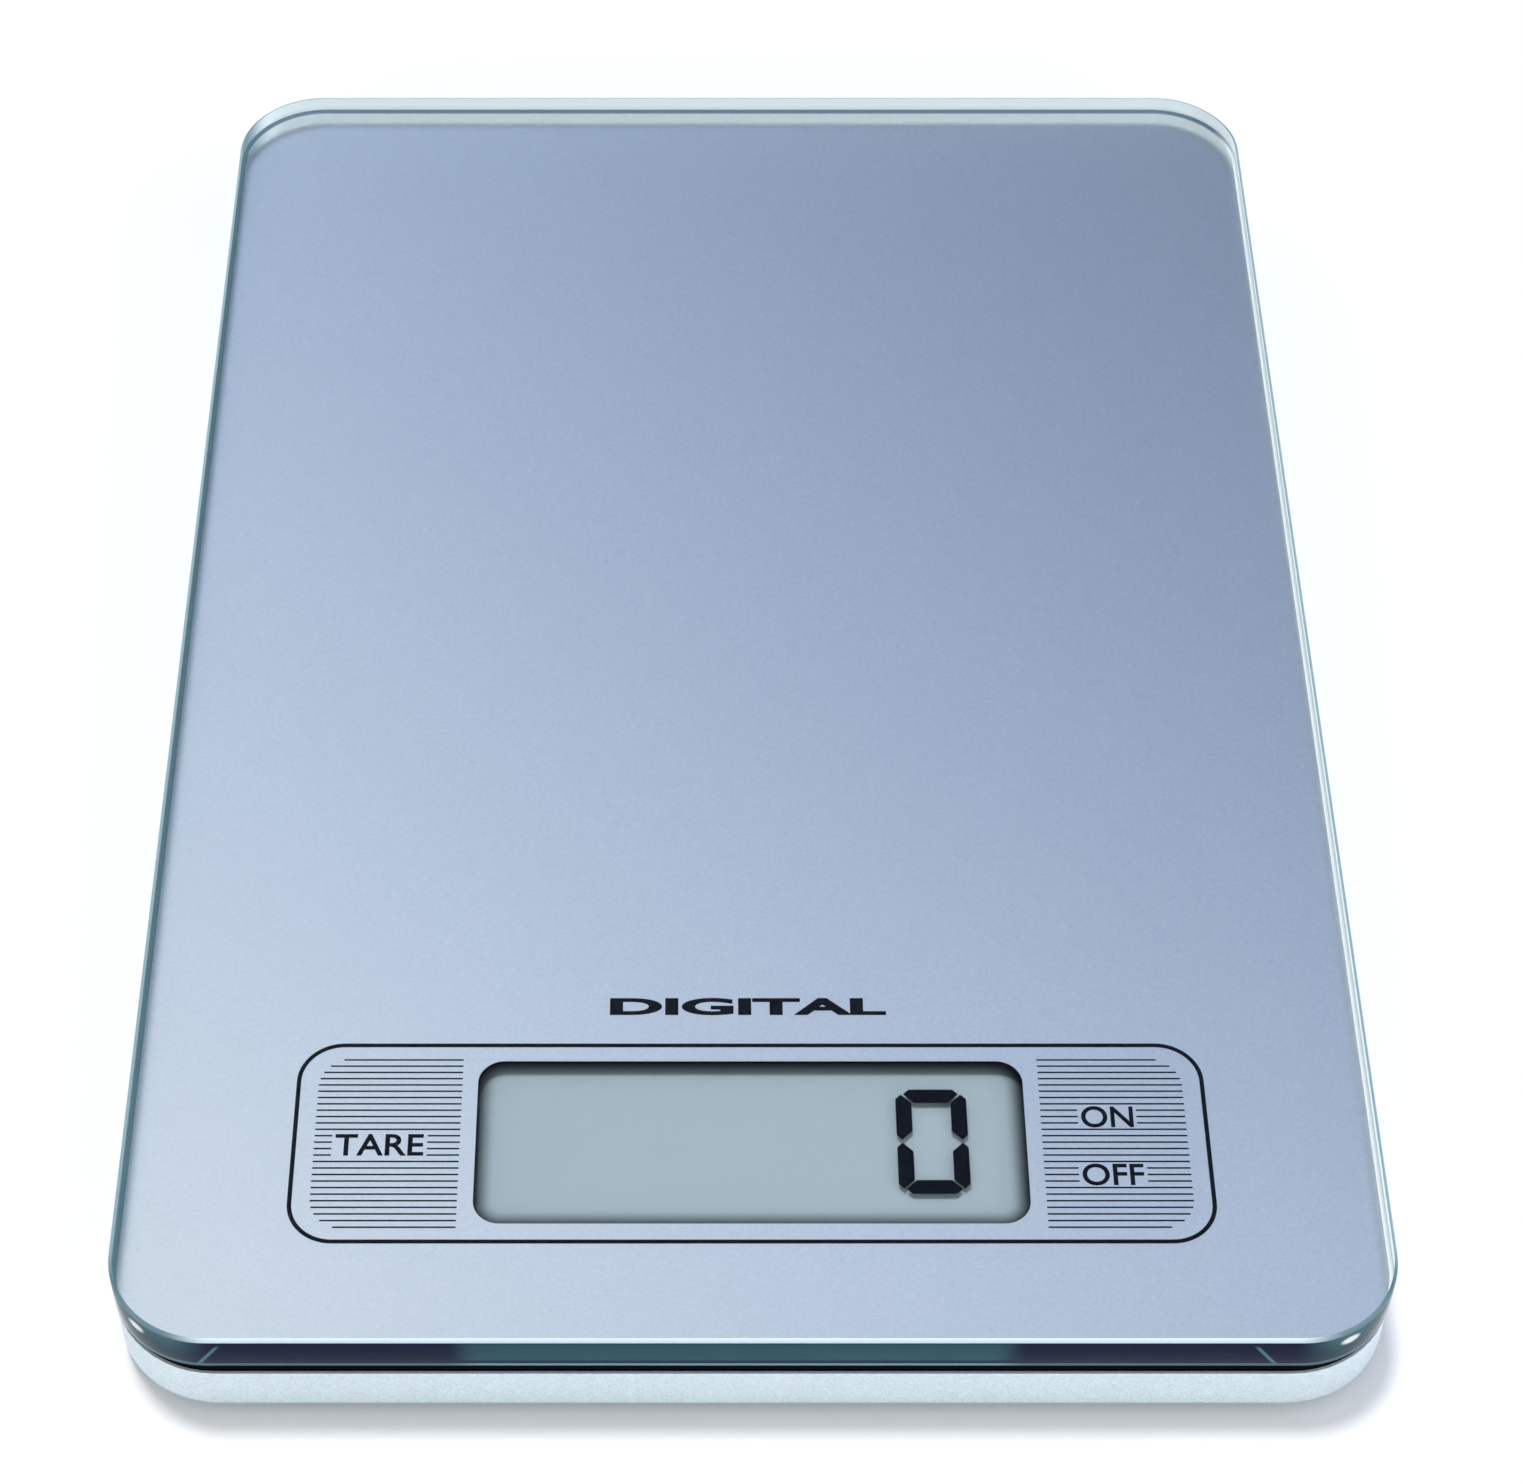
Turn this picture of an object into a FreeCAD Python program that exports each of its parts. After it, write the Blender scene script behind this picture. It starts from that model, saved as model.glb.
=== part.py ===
import FreeCAD, Part
import math
import os

# Slim glass kitchen scale, in millimetres. +Z is up, -Y is the front edge where the display is, and
# the origin is on the standing surface under the middle of the scale.

Vector = FreeCAD.Vector

# --- driving dimensions ---------------------------------------------------------------------------
glass_width = 155.0
glass_length = 227.0
glass_thickness = 6.0
glass_corner = 12.5
glass_arris = 0.45

foot_stand_off = 1.6          # standing surface to the underside of the base
base_height = 7.6
base_wall = 1.8
base_floor = 1.4
base_corner = 13.2
base_edge_round = 1.2
shadow_gap = 1.3              # dark recess between the base rim and the glass, which the carrier fills

carrier_inset = 0.35          # the black plate hides the base rim but for this narrow reveal
skirt_depth = 1.8
skirt_wall = 1.2
skirt_clearance = 0.25
rib_depth = 1.4
rib_width = 1.2
rib_lane_spacing = 52.0
cross_rib_count = 3
cross_rib_length = 77.0

tape_thickness = 0.15
tape_inset = 3.0
tape_width = 6.0
film_thickness = 0.1
film_inset = 0.6
film_clearance = 0.05

window_width = 68.4
window_length = 24.3
window_corner = 3.3
window_from_front = 31.0      # front edge of the glass to the middle of the display window

lcd_width = 78.0
lcd_length = 33.0
lcd_thickness = 2.2
lcd_fit = 0.2
reflector_margin = 1.4
reflector_thickness = 0.2
reflector_fit = 0.2
zebra_width = 1.8
zebra_edge = 0.4
zebra_fit = 0.1
zebra_end = 4.0
bezel_wall = 1.3

board_thickness = 1.0
board_above_floor = 1.6
board_cell_gap = 0.8          # board edge to the load cell holders beside it
board_ahead = 19.5            # how far the board runs ahead of the window's middle
board_behind = 21.0
chip_diameter = 9.0
chip_height = 1.2
small_part = (2.0, 1.25, 0.6)         # width, length and height of the small surface-mounted parts
small_part_columns = 6
small_part_pitch = 9.0
small_part_row = 9.0
converter_chip = (9.9, 3.9, 1.4)
converter_x = -20.0
crystal_can = (3.2, 7.0, 1.2)
crystal_x = 16.0

key_tare_x = -45.8
key_power_x = 44.6
key_ahead = 1.0               # keys sit this far ahead of the window's middle
key_post_diameter = 4.4
key_pad_diameter = 5.6
key_pad_thickness = 0.4
key_hole_clearance = 0.5

cell_width = 20.0
cell_length = 24.0
cell_corner = 2.8
cell_thickness = 1.2
cell_above_floor = 1.2
cell_fit = 0.2
cell_holder_wall = 1.2
cell_holder_gap = 0.1
cell_ledge = 2.0
cell_from_side = 16.5         # side edge of the glass to the foot axis
cell_from_end = 18.5
tongue_width = 10.0
tongue_slot = 1.5
tongue_free_end = 8.0
tongue_root = 8.0
gauge_start = 4.5
gauge_length = 5.2
gauge_width = 9.0
gauge_height = 1.3

foot_diameter = 18.0
foot_hole_clearance = 0.6
foot_pad_diameter = 16.0
foot_pad_thickness = 1.2
foot_pad_proud = 0.6
foot_pad_fit = 0.1
foot_disc_top = 2.8
foot_boss_diameter = 7.0
foot_stem_diameter = 3.6
foot_stem_fit = 0.05
foot_stem_proud = 0.4
retainer_diameter = 6.6
retainer_thickness = 0.8
retainer_fit = 0.01
collar_wall = 1.4
collar_height = 0.8

wire_radius = 0.45
wire_pitch = 1.1
wire_bend = 8.0
wire_landing = 2.8            # length of each wire that lies on the board
clip_length = 3.0
clip_cheek = 0.6
clip_cheek_height = 1.0
clip_room = 0.1
wire_beside_screw = 0.6
clip_places = (45.0, 0.0, -40.0)

coin_diameter = 20.0
coin_thickness = 3.2
coin_from_front = 70.5
coin_fit = 0.6
coin_seat = 0.05
coin_step = 0.4
coin_rim = 1.2
well_wall = 1.6
well_roof = 0.9
well_head_room = 0.5
shelf_thickness = 0.9
shelf_margin = 3.0
contact_thickness = 0.3
contact_width = 4.0
contact_offset = 4.0
contact_play = 0.05
contact_slot = 0.1
contact_proud = 1.3           # how far the contacts stand out of the well towards the board
contact_leaf = 6.0
contact_touch = 1.0
contact_reach = 3.0

door_side_land = 2.9          # edge of the battery well to the side of its door
door_end_land = 4.4
door_thickness = 0.95
door_recess = 1.1
door_set_back = 0.05
door_gap = 0.25
hook_spacing = 16.0
hook_width = 4.0
hook_reach = 1.6
hook_thickness = 0.6
hook_lip = 0.3
hook_room = 0.6
latch_width = 7.6
latch_depth = 1.3
latch_side_gap = 0.2
latch_nose_reach = 0.7
latch_nose_bottom = 0.4
latch_nose_height = 0.4
latch_nose_room = 0.1
finger_scoop_width = 10.0
finger_scoop_length = 4.5
finger_scoop_depth = 0.8

unit_x = -30.0
unit_behind = 10.5            # the unit button sits this far behind the window's middle
unit_diameter = 6.0
unit_gap = 0.2
unit_set_back = 0.1
unit_flange = 0.8
unit_flange_thickness = 0.2
unit_lift = 0.05
switch_size = 4.5
switch_height = 0.9
plunger_diameter = 1.6
plunger_fit = 0.1
plunger_engage = 0.25
plunger_room = 0.6

screw_diameter = 2.0
screw_head_diameter = 4.4
screw_head_height = 1.4
screw_head_gap = 0.2
screw_head_set_back = 0.1
screw_pilot_fit = 0.05
screw_bite = 3.8
screw_boss_diameter = 5.0
screw_pad_diameter = 7.5
screw_side_inset = 9.5
screw_side_spacing = 60.0
screw_end_inset = 8.0
screw_slot_length = 2.4
screw_slot_width = 0.5
screw_slot_depth = 0.6
pilot_spare = 0.2

board_screw_diameter = 1.8
board_screw_head = 3.8
board_screw_head_height = 1.0
board_screw_bite = 2.6
board_screw_boss = 4.5
board_screw_gap = 0.2
board_screw_inset = 4.3
board_screw_front = 3.5
board_screw_rear = 6.5

label_width = 46.0
label_length = 28.0
label_thickness = 0.1
label_corner = 1.5
label_behind = 38.0

merge = 0.1                   # how far blocks that make one piece run into each other

# --- heights and places worked out from them -------------------------------------------------------
base_bottom = foot_stand_off
floor_top = base_bottom + base_floor
base_rim = base_bottom + base_height
glass_bottom = base_rim + shadow_gap
glass_top = glass_bottom + glass_thickness
film_top = glass_bottom - film_clearance
tape_top = film_top - film_thickness
carrier_top = tape_top - tape_thickness

window_y = -glass_length / 2 + window_from_front
board_bottom = floor_top + board_above_floor
board_top = board_bottom + board_thickness
board_front = window_y - board_ahead
board_rear = window_y + board_behind
lcd_bottom = carrier_top - lcd_thickness
zebra_y = lcd_length / 2 - zebra_edge - zebra_width / 2
bezel_width = lcd_width + 2 * lcd_fit + 2 * bezel_wall
bezel_length = lcd_length + 2 * lcd_fit + 2 * bezel_wall
key_y = window_y - key_ahead

cell_x = glass_width / 2 - cell_from_side
cell_y = glass_length / 2 - cell_from_end
board_half_width = cell_x - cell_width / 2 - cell_fit - cell_holder_wall - board_cell_gap
cell_bottom = floor_top + cell_above_floor
cell_top = cell_bottom + cell_thickness
wire_z = board_top + wire_radius

coin_y = -glass_length / 2 + coin_from_front
coin_bottom = base_bottom + door_recess + coin_seat
coin_top = coin_bottom + coin_thickness
roof_bottom = coin_top + well_head_room
shelf_bottom = base_bottom + door_recess
shelf_top = shelf_bottom + shelf_thickness
well_radius = coin_diameter / 2 + coin_fit
door_width = 2 * (well_radius + door_side_land)
door_length = 2 * (well_radius + door_end_land)
door_front = coin_y - door_length / 2
door_rear = coin_y + door_length / 2
door_bottom = base_bottom + door_set_back
door_top = door_bottom + door_thickness
contact_end = coin_y - well_radius - well_wall - contact_proud

unit_y = window_y + unit_behind
unit_top = floor_top + unit_lift + unit_flange_thickness

screw_places = [
    (0.0, glass_length / 2 - screw_end_inset),
    (0.0, -glass_length / 2 + screw_end_inset),
]
for side in (-1, 1):
    for end in (-1, 1):
        place = (side * (glass_width / 2 - screw_side_inset), end * screw_side_spacing / 2)
        screw_places.append(place)

board_screw_x = board_half_width - board_screw_inset
board_screw_places = []
for side in (-1, 1):
    board_screw_places.append((side * board_screw_x, board_front + board_screw_front))
    board_screw_places.append((side * board_screw_x, board_rear - board_screw_rear))

corners = {
    "front_left": (-1, -1),
    "front_right": (1, -1),
    "rear_left": (-1, 1),
    "rear_right": (1, 1),
}


# --- helpers ---------------------------------------------------------------------------------------
def block(x0, x1, y0, y1, z0, z1):
    return Part.makeBox(x1 - x0, y1 - y0, z1 - z0, Vector(x0, y0, z0))


def centred_block(width, length, x, y, z0, z1):
    return block(x - width / 2, x + width / 2, y - length / 2, y + length / 2, z0, z1)


def disc(diameter, x, y, z0, z1):
    return Part.makeCylinder(diameter / 2, z1 - z0, Vector(x, y, z0))


def is_upright(edge):
    box = edge.BoundBox
    return box.XLength < 1e-6 and box.YLength < 1e-6


def lies_at(edge, z):
    box = edge.BoundBox
    return abs(box.ZMin - z) < 1e-6 and abs(box.ZMax - z) < 1e-6


def rounded_block(width, length, radius, z0, z1, x=0.0, y=0.0):
    solid = centred_block(width, length, x, y, z0, z1)
    return solid.makeFillet(radius, [edge for edge in solid.Edges if is_upright(edge)])


def inset_block(inset, corner, z0, z1):
    """The plan outline of the scale, drawn in by one distance all round."""
    radius = corner - inset
    return rounded_block(glass_width - 2 * inset, glass_length - 2 * inset, radius, z0, z1)


def fuse_all(first, others):
    return first.multiFuse(others).removeSplitter()


def cut_all(solid, tools):
    return solid.cut(Part.makeCompound(tools))


def tube(points, bend, radius):
    """A round wire along straight runs joined by tangent arcs."""
    edges = []
    start = points[0]
    for here, corner, after in zip(points, points[1:], points[2:]):
        inward = (here - corner).normalize()
        outward = (after - corner).normalize()
        half_turn = inward.getAngle(outward) / 2
        reach = bend / math.tan(half_turn)
        middle_way = (inward + outward).normalize()
        middle = corner + middle_way * (bend / math.sin(half_turn) - bend)
        first = corner + inward * reach
        last = corner + outward * reach
        edges.append(Part.LineSegment(start, first).toShape())
        edges.append(Part.Arc(first, middle, last).toShape())
        start = last
    edges.append(Part.LineSegment(start, points[-1]).toShape())
    path = Part.Wire(edges)
    section = Part.Wire([Part.makeCircle(radius, points[0], points[1] - points[0])])
    return path.makePipeShell([section], True, False)


def strip(points, thickness, x0, x1):
    """A bent strip of sheet metal: a line of (y, z) points with a thickness, drawn out along X."""
    upper = [Vector(x0, y, z + thickness / 2) for y, z in points]
    lower = [Vector(x0, y, z - thickness / 2) for y, z in reversed(points)]
    outline = Part.makePolygon(upper + lower + upper[:1])
    return Part.Face(outline).extrude(Vector(x1 - x0, 0, 0))


# --- glass and what is laid under it ---------------------------------------------------------------
def glass_platform():
    glass = inset_block(0.0, glass_corner, glass_bottom, glass_top)
    rims = [edge for edge in glass.Edges if lies_at(edge, glass_top) or lies_at(edge, glass_bottom)]
    return glass.makeChamfer(glass_arris, rims)


def display_window(z0, z1, margin=0.0):
    width = window_width + 2 * margin
    length = window_length + 2 * margin
    return rounded_block(width, length, window_corner + margin, z0, z1, 0.0, window_y)


def backing_film():
    film = inset_block(film_inset, glass_corner, tape_top, film_top)
    return film.cut(display_window(tape_top, film_top))


def platform_tape():
    outer = inset_block(tape_inset, glass_corner, carrier_top, tape_top)
    inner = inset_block(tape_inset + tape_width, glass_corner, carrier_top, tape_top)
    return outer.cut(inner)


def lcd_gasket():
    outer = centred_block(lcd_width, lcd_length, 0.0, window_y, carrier_top, tape_top)
    return outer.cut(display_window(carrier_top, tape_top, reflector_margin))


# --- black carrier frame under the glass -----------------------------------------------------------
def carrier_ribs():
    ribs = []
    rib_bottom = base_rim - rib_depth
    rear = glass_length / 2 - screw_end_inset - screw_pad_diameter
    front = door_rear + shelf_margin
    for x in (-rib_lane_spacing / 2, rib_lane_spacing / 2):
        ribs.append(centred_block(rib_width, rear - front, x, (rear + front) / 2, rib_bottom, base_rim))
    for row in range(cross_rib_count):
        y = front + (row + 0.5) * (rear - front) / cross_rib_count
        ribs.append(centred_block(cross_rib_length, rib_width, 0.0, y, rib_bottom, base_rim))
    return ribs


def carrier_skirt():
    outer_inset = base_wall + skirt_clearance
    outer = inset_block(outer_inset, base_corner, base_rim - skirt_depth, base_rim)
    inner = inset_block(outer_inset + skirt_wall, base_corner, base_rim - skirt_depth, base_rim)
    return outer.cut(inner)


def carrier_frame():
    plate = inset_block(carrier_inset, base_corner, base_rim, carrier_top)
    pad_top = floor_top + board_above_floor
    bosses = [disc(screw_boss_diameter, x, y, pad_top, base_rim) for x, y in screw_places]
    bosses += [disc(board_screw_boss, x, y, board_top, base_rim) for x, y in board_screw_places]
    body = fuse_all(plate, bosses + carrier_ribs() + [carrier_skirt()])
    cuts = [
        centred_block(lcd_width + 2 * lcd_fit, lcd_length + 2 * lcd_fit, 0, window_y, base_rim, carrier_top)
    ]
    hole = key_pad_diameter + 2 * key_hole_clearance
    for x in (key_tare_x, key_power_x):
        cuts.append(disc(hole, x, key_y, base_rim, carrier_top))
    pilot = screw_diameter + 2 * screw_pilot_fit
    for x, y in screw_places:
        cuts.append(disc(pilot, x, y, pad_top, pad_top + screw_bite + pilot_spare))
    board_pilot = board_screw_diameter + 2 * screw_pilot_fit
    for x, y in board_screw_places:
        cuts.append(disc(board_pilot, x, y, board_top, board_top + board_screw_bite + pilot_spare))
    return cut_all(body, cuts)


# --- base shell ------------------------------------------------------------------------------------
def base_tray():
    outer = inset_block(0.0, base_corner, base_bottom, base_rim)
    rim = [edge for edge in outer.Edges if lies_at(edge, base_bottom)]
    outer = outer.makeFillet(base_edge_round, rim)
    return outer.cut(inset_block(base_wall, base_corner, floor_top, base_rim))


def foot_collars():
    collars = []
    hole = foot_diameter + 2 * foot_hole_clearance
    for side, end in corners.values():
        outer = disc(hole + 2 * collar_wall, side * cell_x, end * cell_y, base_bottom + merge,
                     floor_top + collar_height)
        collars.append(outer)
    return collars


def wire_clips():
    """Saddles on the floor that carry the long wires from the rear load cells."""
    clips = []
    half = wire_pitch + wire_radius + clip_room + clip_cheek
    for side in (-1, 1):
        x = side * rear_wire_x(0)
        for y in clip_places:
            cheek_top = board_top + clip_cheek_height
            saddle = centred_block(2 * half, clip_length, x, y, floor_top - merge, cheek_top)
            channel = centred_block(2 * (half - clip_cheek), clip_length, x, y, board_top, cheek_top)
            clips.append(saddle.cut(channel))
    return clips


def battery_well():
    shelf = centred_block(
        door_width + 2 * door_gap + 2 * shelf_margin,
        door_length + 2 * door_gap + 2 * shelf_margin,
        0.0, coin_y, base_bottom + merge, shelf_top,
    )
    tower = disc(2 * (well_radius + well_wall), 0.0, coin_y, shelf_bottom, roof_bottom + well_roof)
    return [shelf, tower]


def contact_slots():
    """Ways through the well wall for the two battery contacts."""
    half = contact_width / 2 + contact_slot
    negative = block(-contact_offset - half, -contact_offset + half, contact_end, coin_y,
                     coin_top - contact_play, roof_bottom)
    face = coin_diameter / 2 + contact_play
    positive = block(face - contact_slot, face + contact_thickness + contact_slot,
                     contact_end, coin_y + contact_reach + contact_slot, shelf_top, roof_bottom)
    return [negative, positive]


def door_recess_cuts():
    cuts = [
        centred_block(door_width + 2 * door_gap, door_length + 2 * door_gap, 0.0, coin_y,
                      base_bottom, shelf_bottom)
    ]
    reach_room = hook_reach + hook_room
    for side in (-1, 1):
        x = side * hook_spacing / 2
        cuts.append(block(x - hook_width / 2 - door_gap, x + hook_width / 2 + door_gap,
                          door_front - reach_room, door_front + hook_reach + door_gap,
                          base_bottom + hook_lip, shelf_top))
    nose_bottom = door_bottom + latch_nose_bottom - latch_nose_room
    nose_top = nose_bottom + latch_nose_height + 2 * latch_nose_room
    cuts.append(block(-latch_width / 2 - latch_side_gap, latch_width / 2 + latch_side_gap, door_rear,
                      door_rear + latch_nose_reach + latch_nose_room, nose_bottom, nose_top))
    cuts.append(block(-finger_scoop_width / 2, finger_scoop_width / 2, door_rear,
                      door_rear + finger_scoop_length, base_bottom, base_bottom + finger_scoop_depth))
    return cuts


def base_shell():
    pads = [disc(screw_pad_diameter, x, y, base_bottom + merge, board_bottom) for x, y in screw_places]
    body = fuse_all(base_tray(), pads + foot_collars() + wire_clips() + battery_well())
    hole = foot_diameter + 2 * foot_hole_clearance
    cuts = [
        disc(hole, side * cell_x, end * cell_y, base_bottom, floor_top + collar_height)
        for side, end in corners.values()
    ]
    head_top = base_bottom + screw_head_set_back + screw_head_height
    for x, y in screw_places:
        cuts.append(disc(screw_head_diameter + 2 * screw_head_gap, x, y, base_bottom, head_top))
        cuts.append(disc(screw_diameter + 2 * screw_head_gap, x, y, head_top, board_bottom))
    cuts.append(disc(unit_diameter + 2 * unit_gap, unit_x, unit_y, base_bottom, floor_top))
    cuts.append(disc(2 * well_radius, 0.0, coin_y, base_bottom, roof_bottom))
    return cut_all(body, cuts + door_recess_cuts() + contact_slots())


# --- battery, its contacts and its door ------------------------------------------------------------
def battery_cell():
    can = disc(coin_diameter, 0.0, coin_y, coin_bottom, coin_top - coin_step)
    cap = disc(coin_diameter - 2 * coin_rim, 0.0, coin_y, coin_top - coin_step, coin_top)
    return fuse_all(can, [cap])


def battery_contact_negative():
    low = coin_top + contact_thickness / 2
    high = roof_bottom - contact_thickness / 2
    line = [
        (coin_y + contact_leaf, high),
        (coin_y + contact_touch, low),
        (coin_y - contact_touch, low),
        (coin_y - contact_leaf, high),
        (contact_end, high),
    ]
    x = -contact_offset
    return strip(line, contact_thickness, x - contact_width / 2, x + contact_width / 2)


def battery_contact_positive():
    face = coin_diameter / 2 + contact_play
    return block(face, face + contact_thickness, contact_end, coin_y + contact_reach,
                 shelf_top + contact_slot, roof_bottom - contact_slot)


def battery_leads():
    """Two short leads that run straight from the contact tails onto the board."""
    positive_x = coin_diameter / 2 + contact_play + contact_thickness / 2
    leads = []
    for x in (-contact_offset, positive_x):
        run = Vector(0, board_rear - wire_landing / 2 - contact_end, 0)
        leads.append(Part.makeCylinder(wire_radius, run.Length, Vector(x, contact_end, wire_z), run))
    return Part.makeCompound(leads)


def battery_door():
    plate = centred_block(door_width, door_length, 0.0, coin_y, door_bottom, door_top)
    hooks = []
    for side in (-1, 1):
        hooks.append(centred_block(hook_width, 2 * hook_reach, side * hook_spacing / 2, door_front,
                                   door_top - hook_thickness, door_top))
    half = latch_width / 2 + latch_side_gap
    notch = block(-half, half, door_rear - latch_depth, door_rear, door_bottom, door_top)
    return fuse_all(plate, hooks).cut(notch)


def battery_door_latch():
    half = latch_width / 2
    tongue = block(-half, half, door_rear - latch_depth, door_rear, door_bottom, door_top)
    nose_bottom = door_bottom + latch_nose_bottom
    nose = block(-half, half, door_rear, door_rear + latch_nose_reach,
                 nose_bottom, nose_bottom + latch_nose_height)
    return fuse_all(tongue, [nose])


# --- display ---------------------------------------------------------------------------------------
def lcd_cell():
    return centred_block(lcd_width, lcd_length, 0.0, window_y, lcd_bottom, carrier_top)


def lcd_reflector():
    width = window_width + 2 * reflector_margin + 2 * window_corner
    length = window_length + 2 * reflector_margin
    return centred_block(width, length, 0.0, window_y, lcd_bottom - reflector_thickness, lcd_bottom)


def lcd_bezel():
    body = centred_block(bezel_width, bezel_length, 0.0, window_y, board_top, base_rim)
    pocket = centred_block(lcd_width + 2 * lcd_fit, lcd_length + 2 * lcd_fit, 0.0, window_y,
                           lcd_bottom, base_rim)
    width = window_width + 2 * reflector_margin + 2 * window_corner + 2 * reflector_fit
    length = window_length + 2 * reflector_margin + 2 * reflector_fit
    cuts = [pocket, centred_block(width, length, 0.0, window_y, board_top, lcd_bottom)]
    for side in (-1, 1):
        cuts.append(centred_block(lcd_width - zebra_end + 2 * zebra_fit, zebra_width + 2 * zebra_fit,
                                  0.0, window_y + side * zebra_y, board_top, lcd_bottom))
    return cut_all(body, cuts)


def lcd_zebra_strips():
    strips = []
    for side in (-1, 1):
        strips.append(centred_block(lcd_width - zebra_end, zebra_width, 0.0,
                                    window_y + side * zebra_y, board_top, lcd_bottom))
    return Part.makeCompound(strips)


# --- circuit board ---------------------------------------------------------------------------------
def pcb_main():
    board = block(-board_half_width, board_half_width, board_front, board_rear, board_bottom, board_top)
    hole = board_screw_diameter + 2 * board_screw_gap
    return cut_all(board, [disc(hole, x, y, board_bottom, board_top) for x, y in board_screw_places])


def pcb_chip():
    """Epoxy blob over the bare chip: a shallow slice of a ball."""
    half = chip_diameter / 2
    ball_radius = (half ** 2 + chip_height ** 2) / (2 * chip_height)
    ball = Part.makeSphere(ball_radius, Vector(0, window_y, board_top + chip_height - ball_radius))
    above = disc(chip_diameter, 0.0, window_y, board_top, board_top + chip_height)
    return ball.common(above)


def pcb_components():
    """Two rows of small surface-mounted parts, the converter chip and the crystal, under the display."""
    width, length, height = small_part
    parts = []
    for column in range(small_part_columns):
        x = (column - (small_part_columns - 1) / 2) * small_part_pitch
        for row in (-1, 1):
            y = window_y + row * small_part_row
            parts.append(centred_block(width, length, x, y, board_top, board_top + height))
    for x, size in ((converter_x, converter_chip), (crystal_x, crystal_can)):
        parts.append(centred_block(size[0], size[1], x, window_y, board_top, board_top + size[2]))
    return Part.makeCompound(parts)


def touch_contact(x):
    """Post of conductive foam between the board and the film, with a wider pad at its top and foot."""
    post = disc(key_post_diameter, x, key_y, board_top, carrier_top)
    foot_plate = disc(key_pad_diameter, x, key_y, board_top, board_top + key_pad_thickness)
    pad = disc(key_pad_diameter, x, key_y, carrier_top - key_pad_thickness, carrier_top)
    return fuse_all(post, [foot_plate, pad])


def unit_switch():
    body = centred_block(switch_size, switch_size, unit_x, unit_y, board_bottom - switch_height, board_bottom)
    bore = plunger_diameter + 2 * plunger_fit
    bottom = board_bottom - switch_height
    return body.cut(disc(bore, unit_x, unit_y, bottom, bottom + plunger_room))


def unit_switch_plunger():
    top = board_bottom - switch_height + plunger_engage
    return disc(plunger_diameter, unit_x, unit_y, unit_top, top)


def unit_button():
    cap = disc(unit_diameter, unit_x, unit_y, base_bottom + unit_set_back, unit_top)
    flange = disc(unit_diameter + 2 * unit_gap + 2 * unit_flange, unit_x, unit_y,
                  floor_top + unit_lift, unit_top)
    return fuse_all(cap, [flange])


# --- load cells, feet and their wires --------------------------------------------------------------
def load_cell_plate(side, end):
    """Steel plate with a tongue cut out of its middle; the tongue's root faces the middle of the scale."""
    x = side * cell_x
    y = end * cell_y
    plate = rounded_block(cell_width, cell_length, cell_corner, cell_bottom, cell_top, x, y)
    half = tongue_width / 2
    cuts = [disc(foot_stem_diameter + 2 * foot_stem_fit, x, y, cell_bottom, cell_top)]
    legs_middle = y + end * (tongue_free_end - tongue_root) / 2
    for hand in (-1, 1):
        cuts.append(centred_block(tongue_slot, tongue_free_end + tongue_root,
                                  x + hand * (half + tongue_slot / 2), legs_middle, cell_bottom, cell_top))
    cuts.append(centred_block(tongue_width + 2 * tongue_slot, tongue_slot, x,
                              y + end * (tongue_free_end + tongue_slot / 2), cell_bottom, cell_top))
    return cut_all(plate, cuts)


def load_cell_potting(side, end):
    """Sealant over the strain gauges at the tongue's root."""
    y = end * (cell_y - gauge_start - gauge_length / 2)
    return centred_block(gauge_width, gauge_length, side * cell_x, y, cell_top, cell_top + gauge_height)


def load_cell_holder(side, end):
    """Open frame that hangs from the carrier and bears on the load cell's outer rails."""
    x = side * cell_x
    y = end * cell_y
    surround = cell_fit + cell_holder_wall
    width = cell_width + 2 * surround
    body = rounded_block(width, cell_length + 2 * surround, cell_corner + surround,
                         cell_bottom + cell_fit, base_rim, x, y)
    room = inset_block(base_wall + skirt_clearance + skirt_wall + cell_holder_gap, base_corner,
                       floor_top, base_rim)
    seat = rounded_block(cell_width + 2 * cell_fit, cell_length + 2 * cell_fit, cell_corner + cell_fit,
                         cell_bottom, cell_top, x, y)
    middle = centred_block(cell_width - 2 * cell_ledge, cell_length - 2 * cell_ledge, x, y,
                           cell_top, base_rim)
    way_out = centred_block(width, gauge_length + 2 * wire_radius, x - side * width / 2,
                            end * (cell_y - gauge_start - gauge_length / 2),
                            cell_top, wire_z + 2 * wire_radius)
    return cut_all(body.common(room), [seat, middle, way_out])


def foot(side, end):
    x = side * cell_x
    y = end * cell_y
    bottom = foot_pad_proud
    parts = [
        disc(foot_boss_diameter, x, y, foot_disc_top - merge, cell_bottom),
        disc(foot_stem_diameter, x, y, cell_bottom - merge, cell_top + retainer_thickness + foot_stem_proud),
    ]
    body = fuse_all(disc(foot_diameter, x, y, bottom, foot_disc_top), parts)
    return body.cut(disc(foot_pad_diameter + 2 * foot_pad_fit, x, y, bottom, foot_pad_thickness))


def foot_pad(side, end):
    return disc(foot_pad_diameter, side * cell_x, end * cell_y, 0.0, foot_pad_thickness)


def foot_retainer(side, end):
    x = side * cell_x
    y = end * cell_y
    ring_top = cell_top + retainer_thickness
    ring = disc(retainer_diameter, x, y, cell_top, ring_top)
    return ring.cut(disc(foot_stem_diameter + 2 * retainer_fit, x, y, cell_top, ring_top))


def rear_wire_x(lane):
    return board_screw_x - wire_beside_screw - wire_pitch * lane


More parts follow.
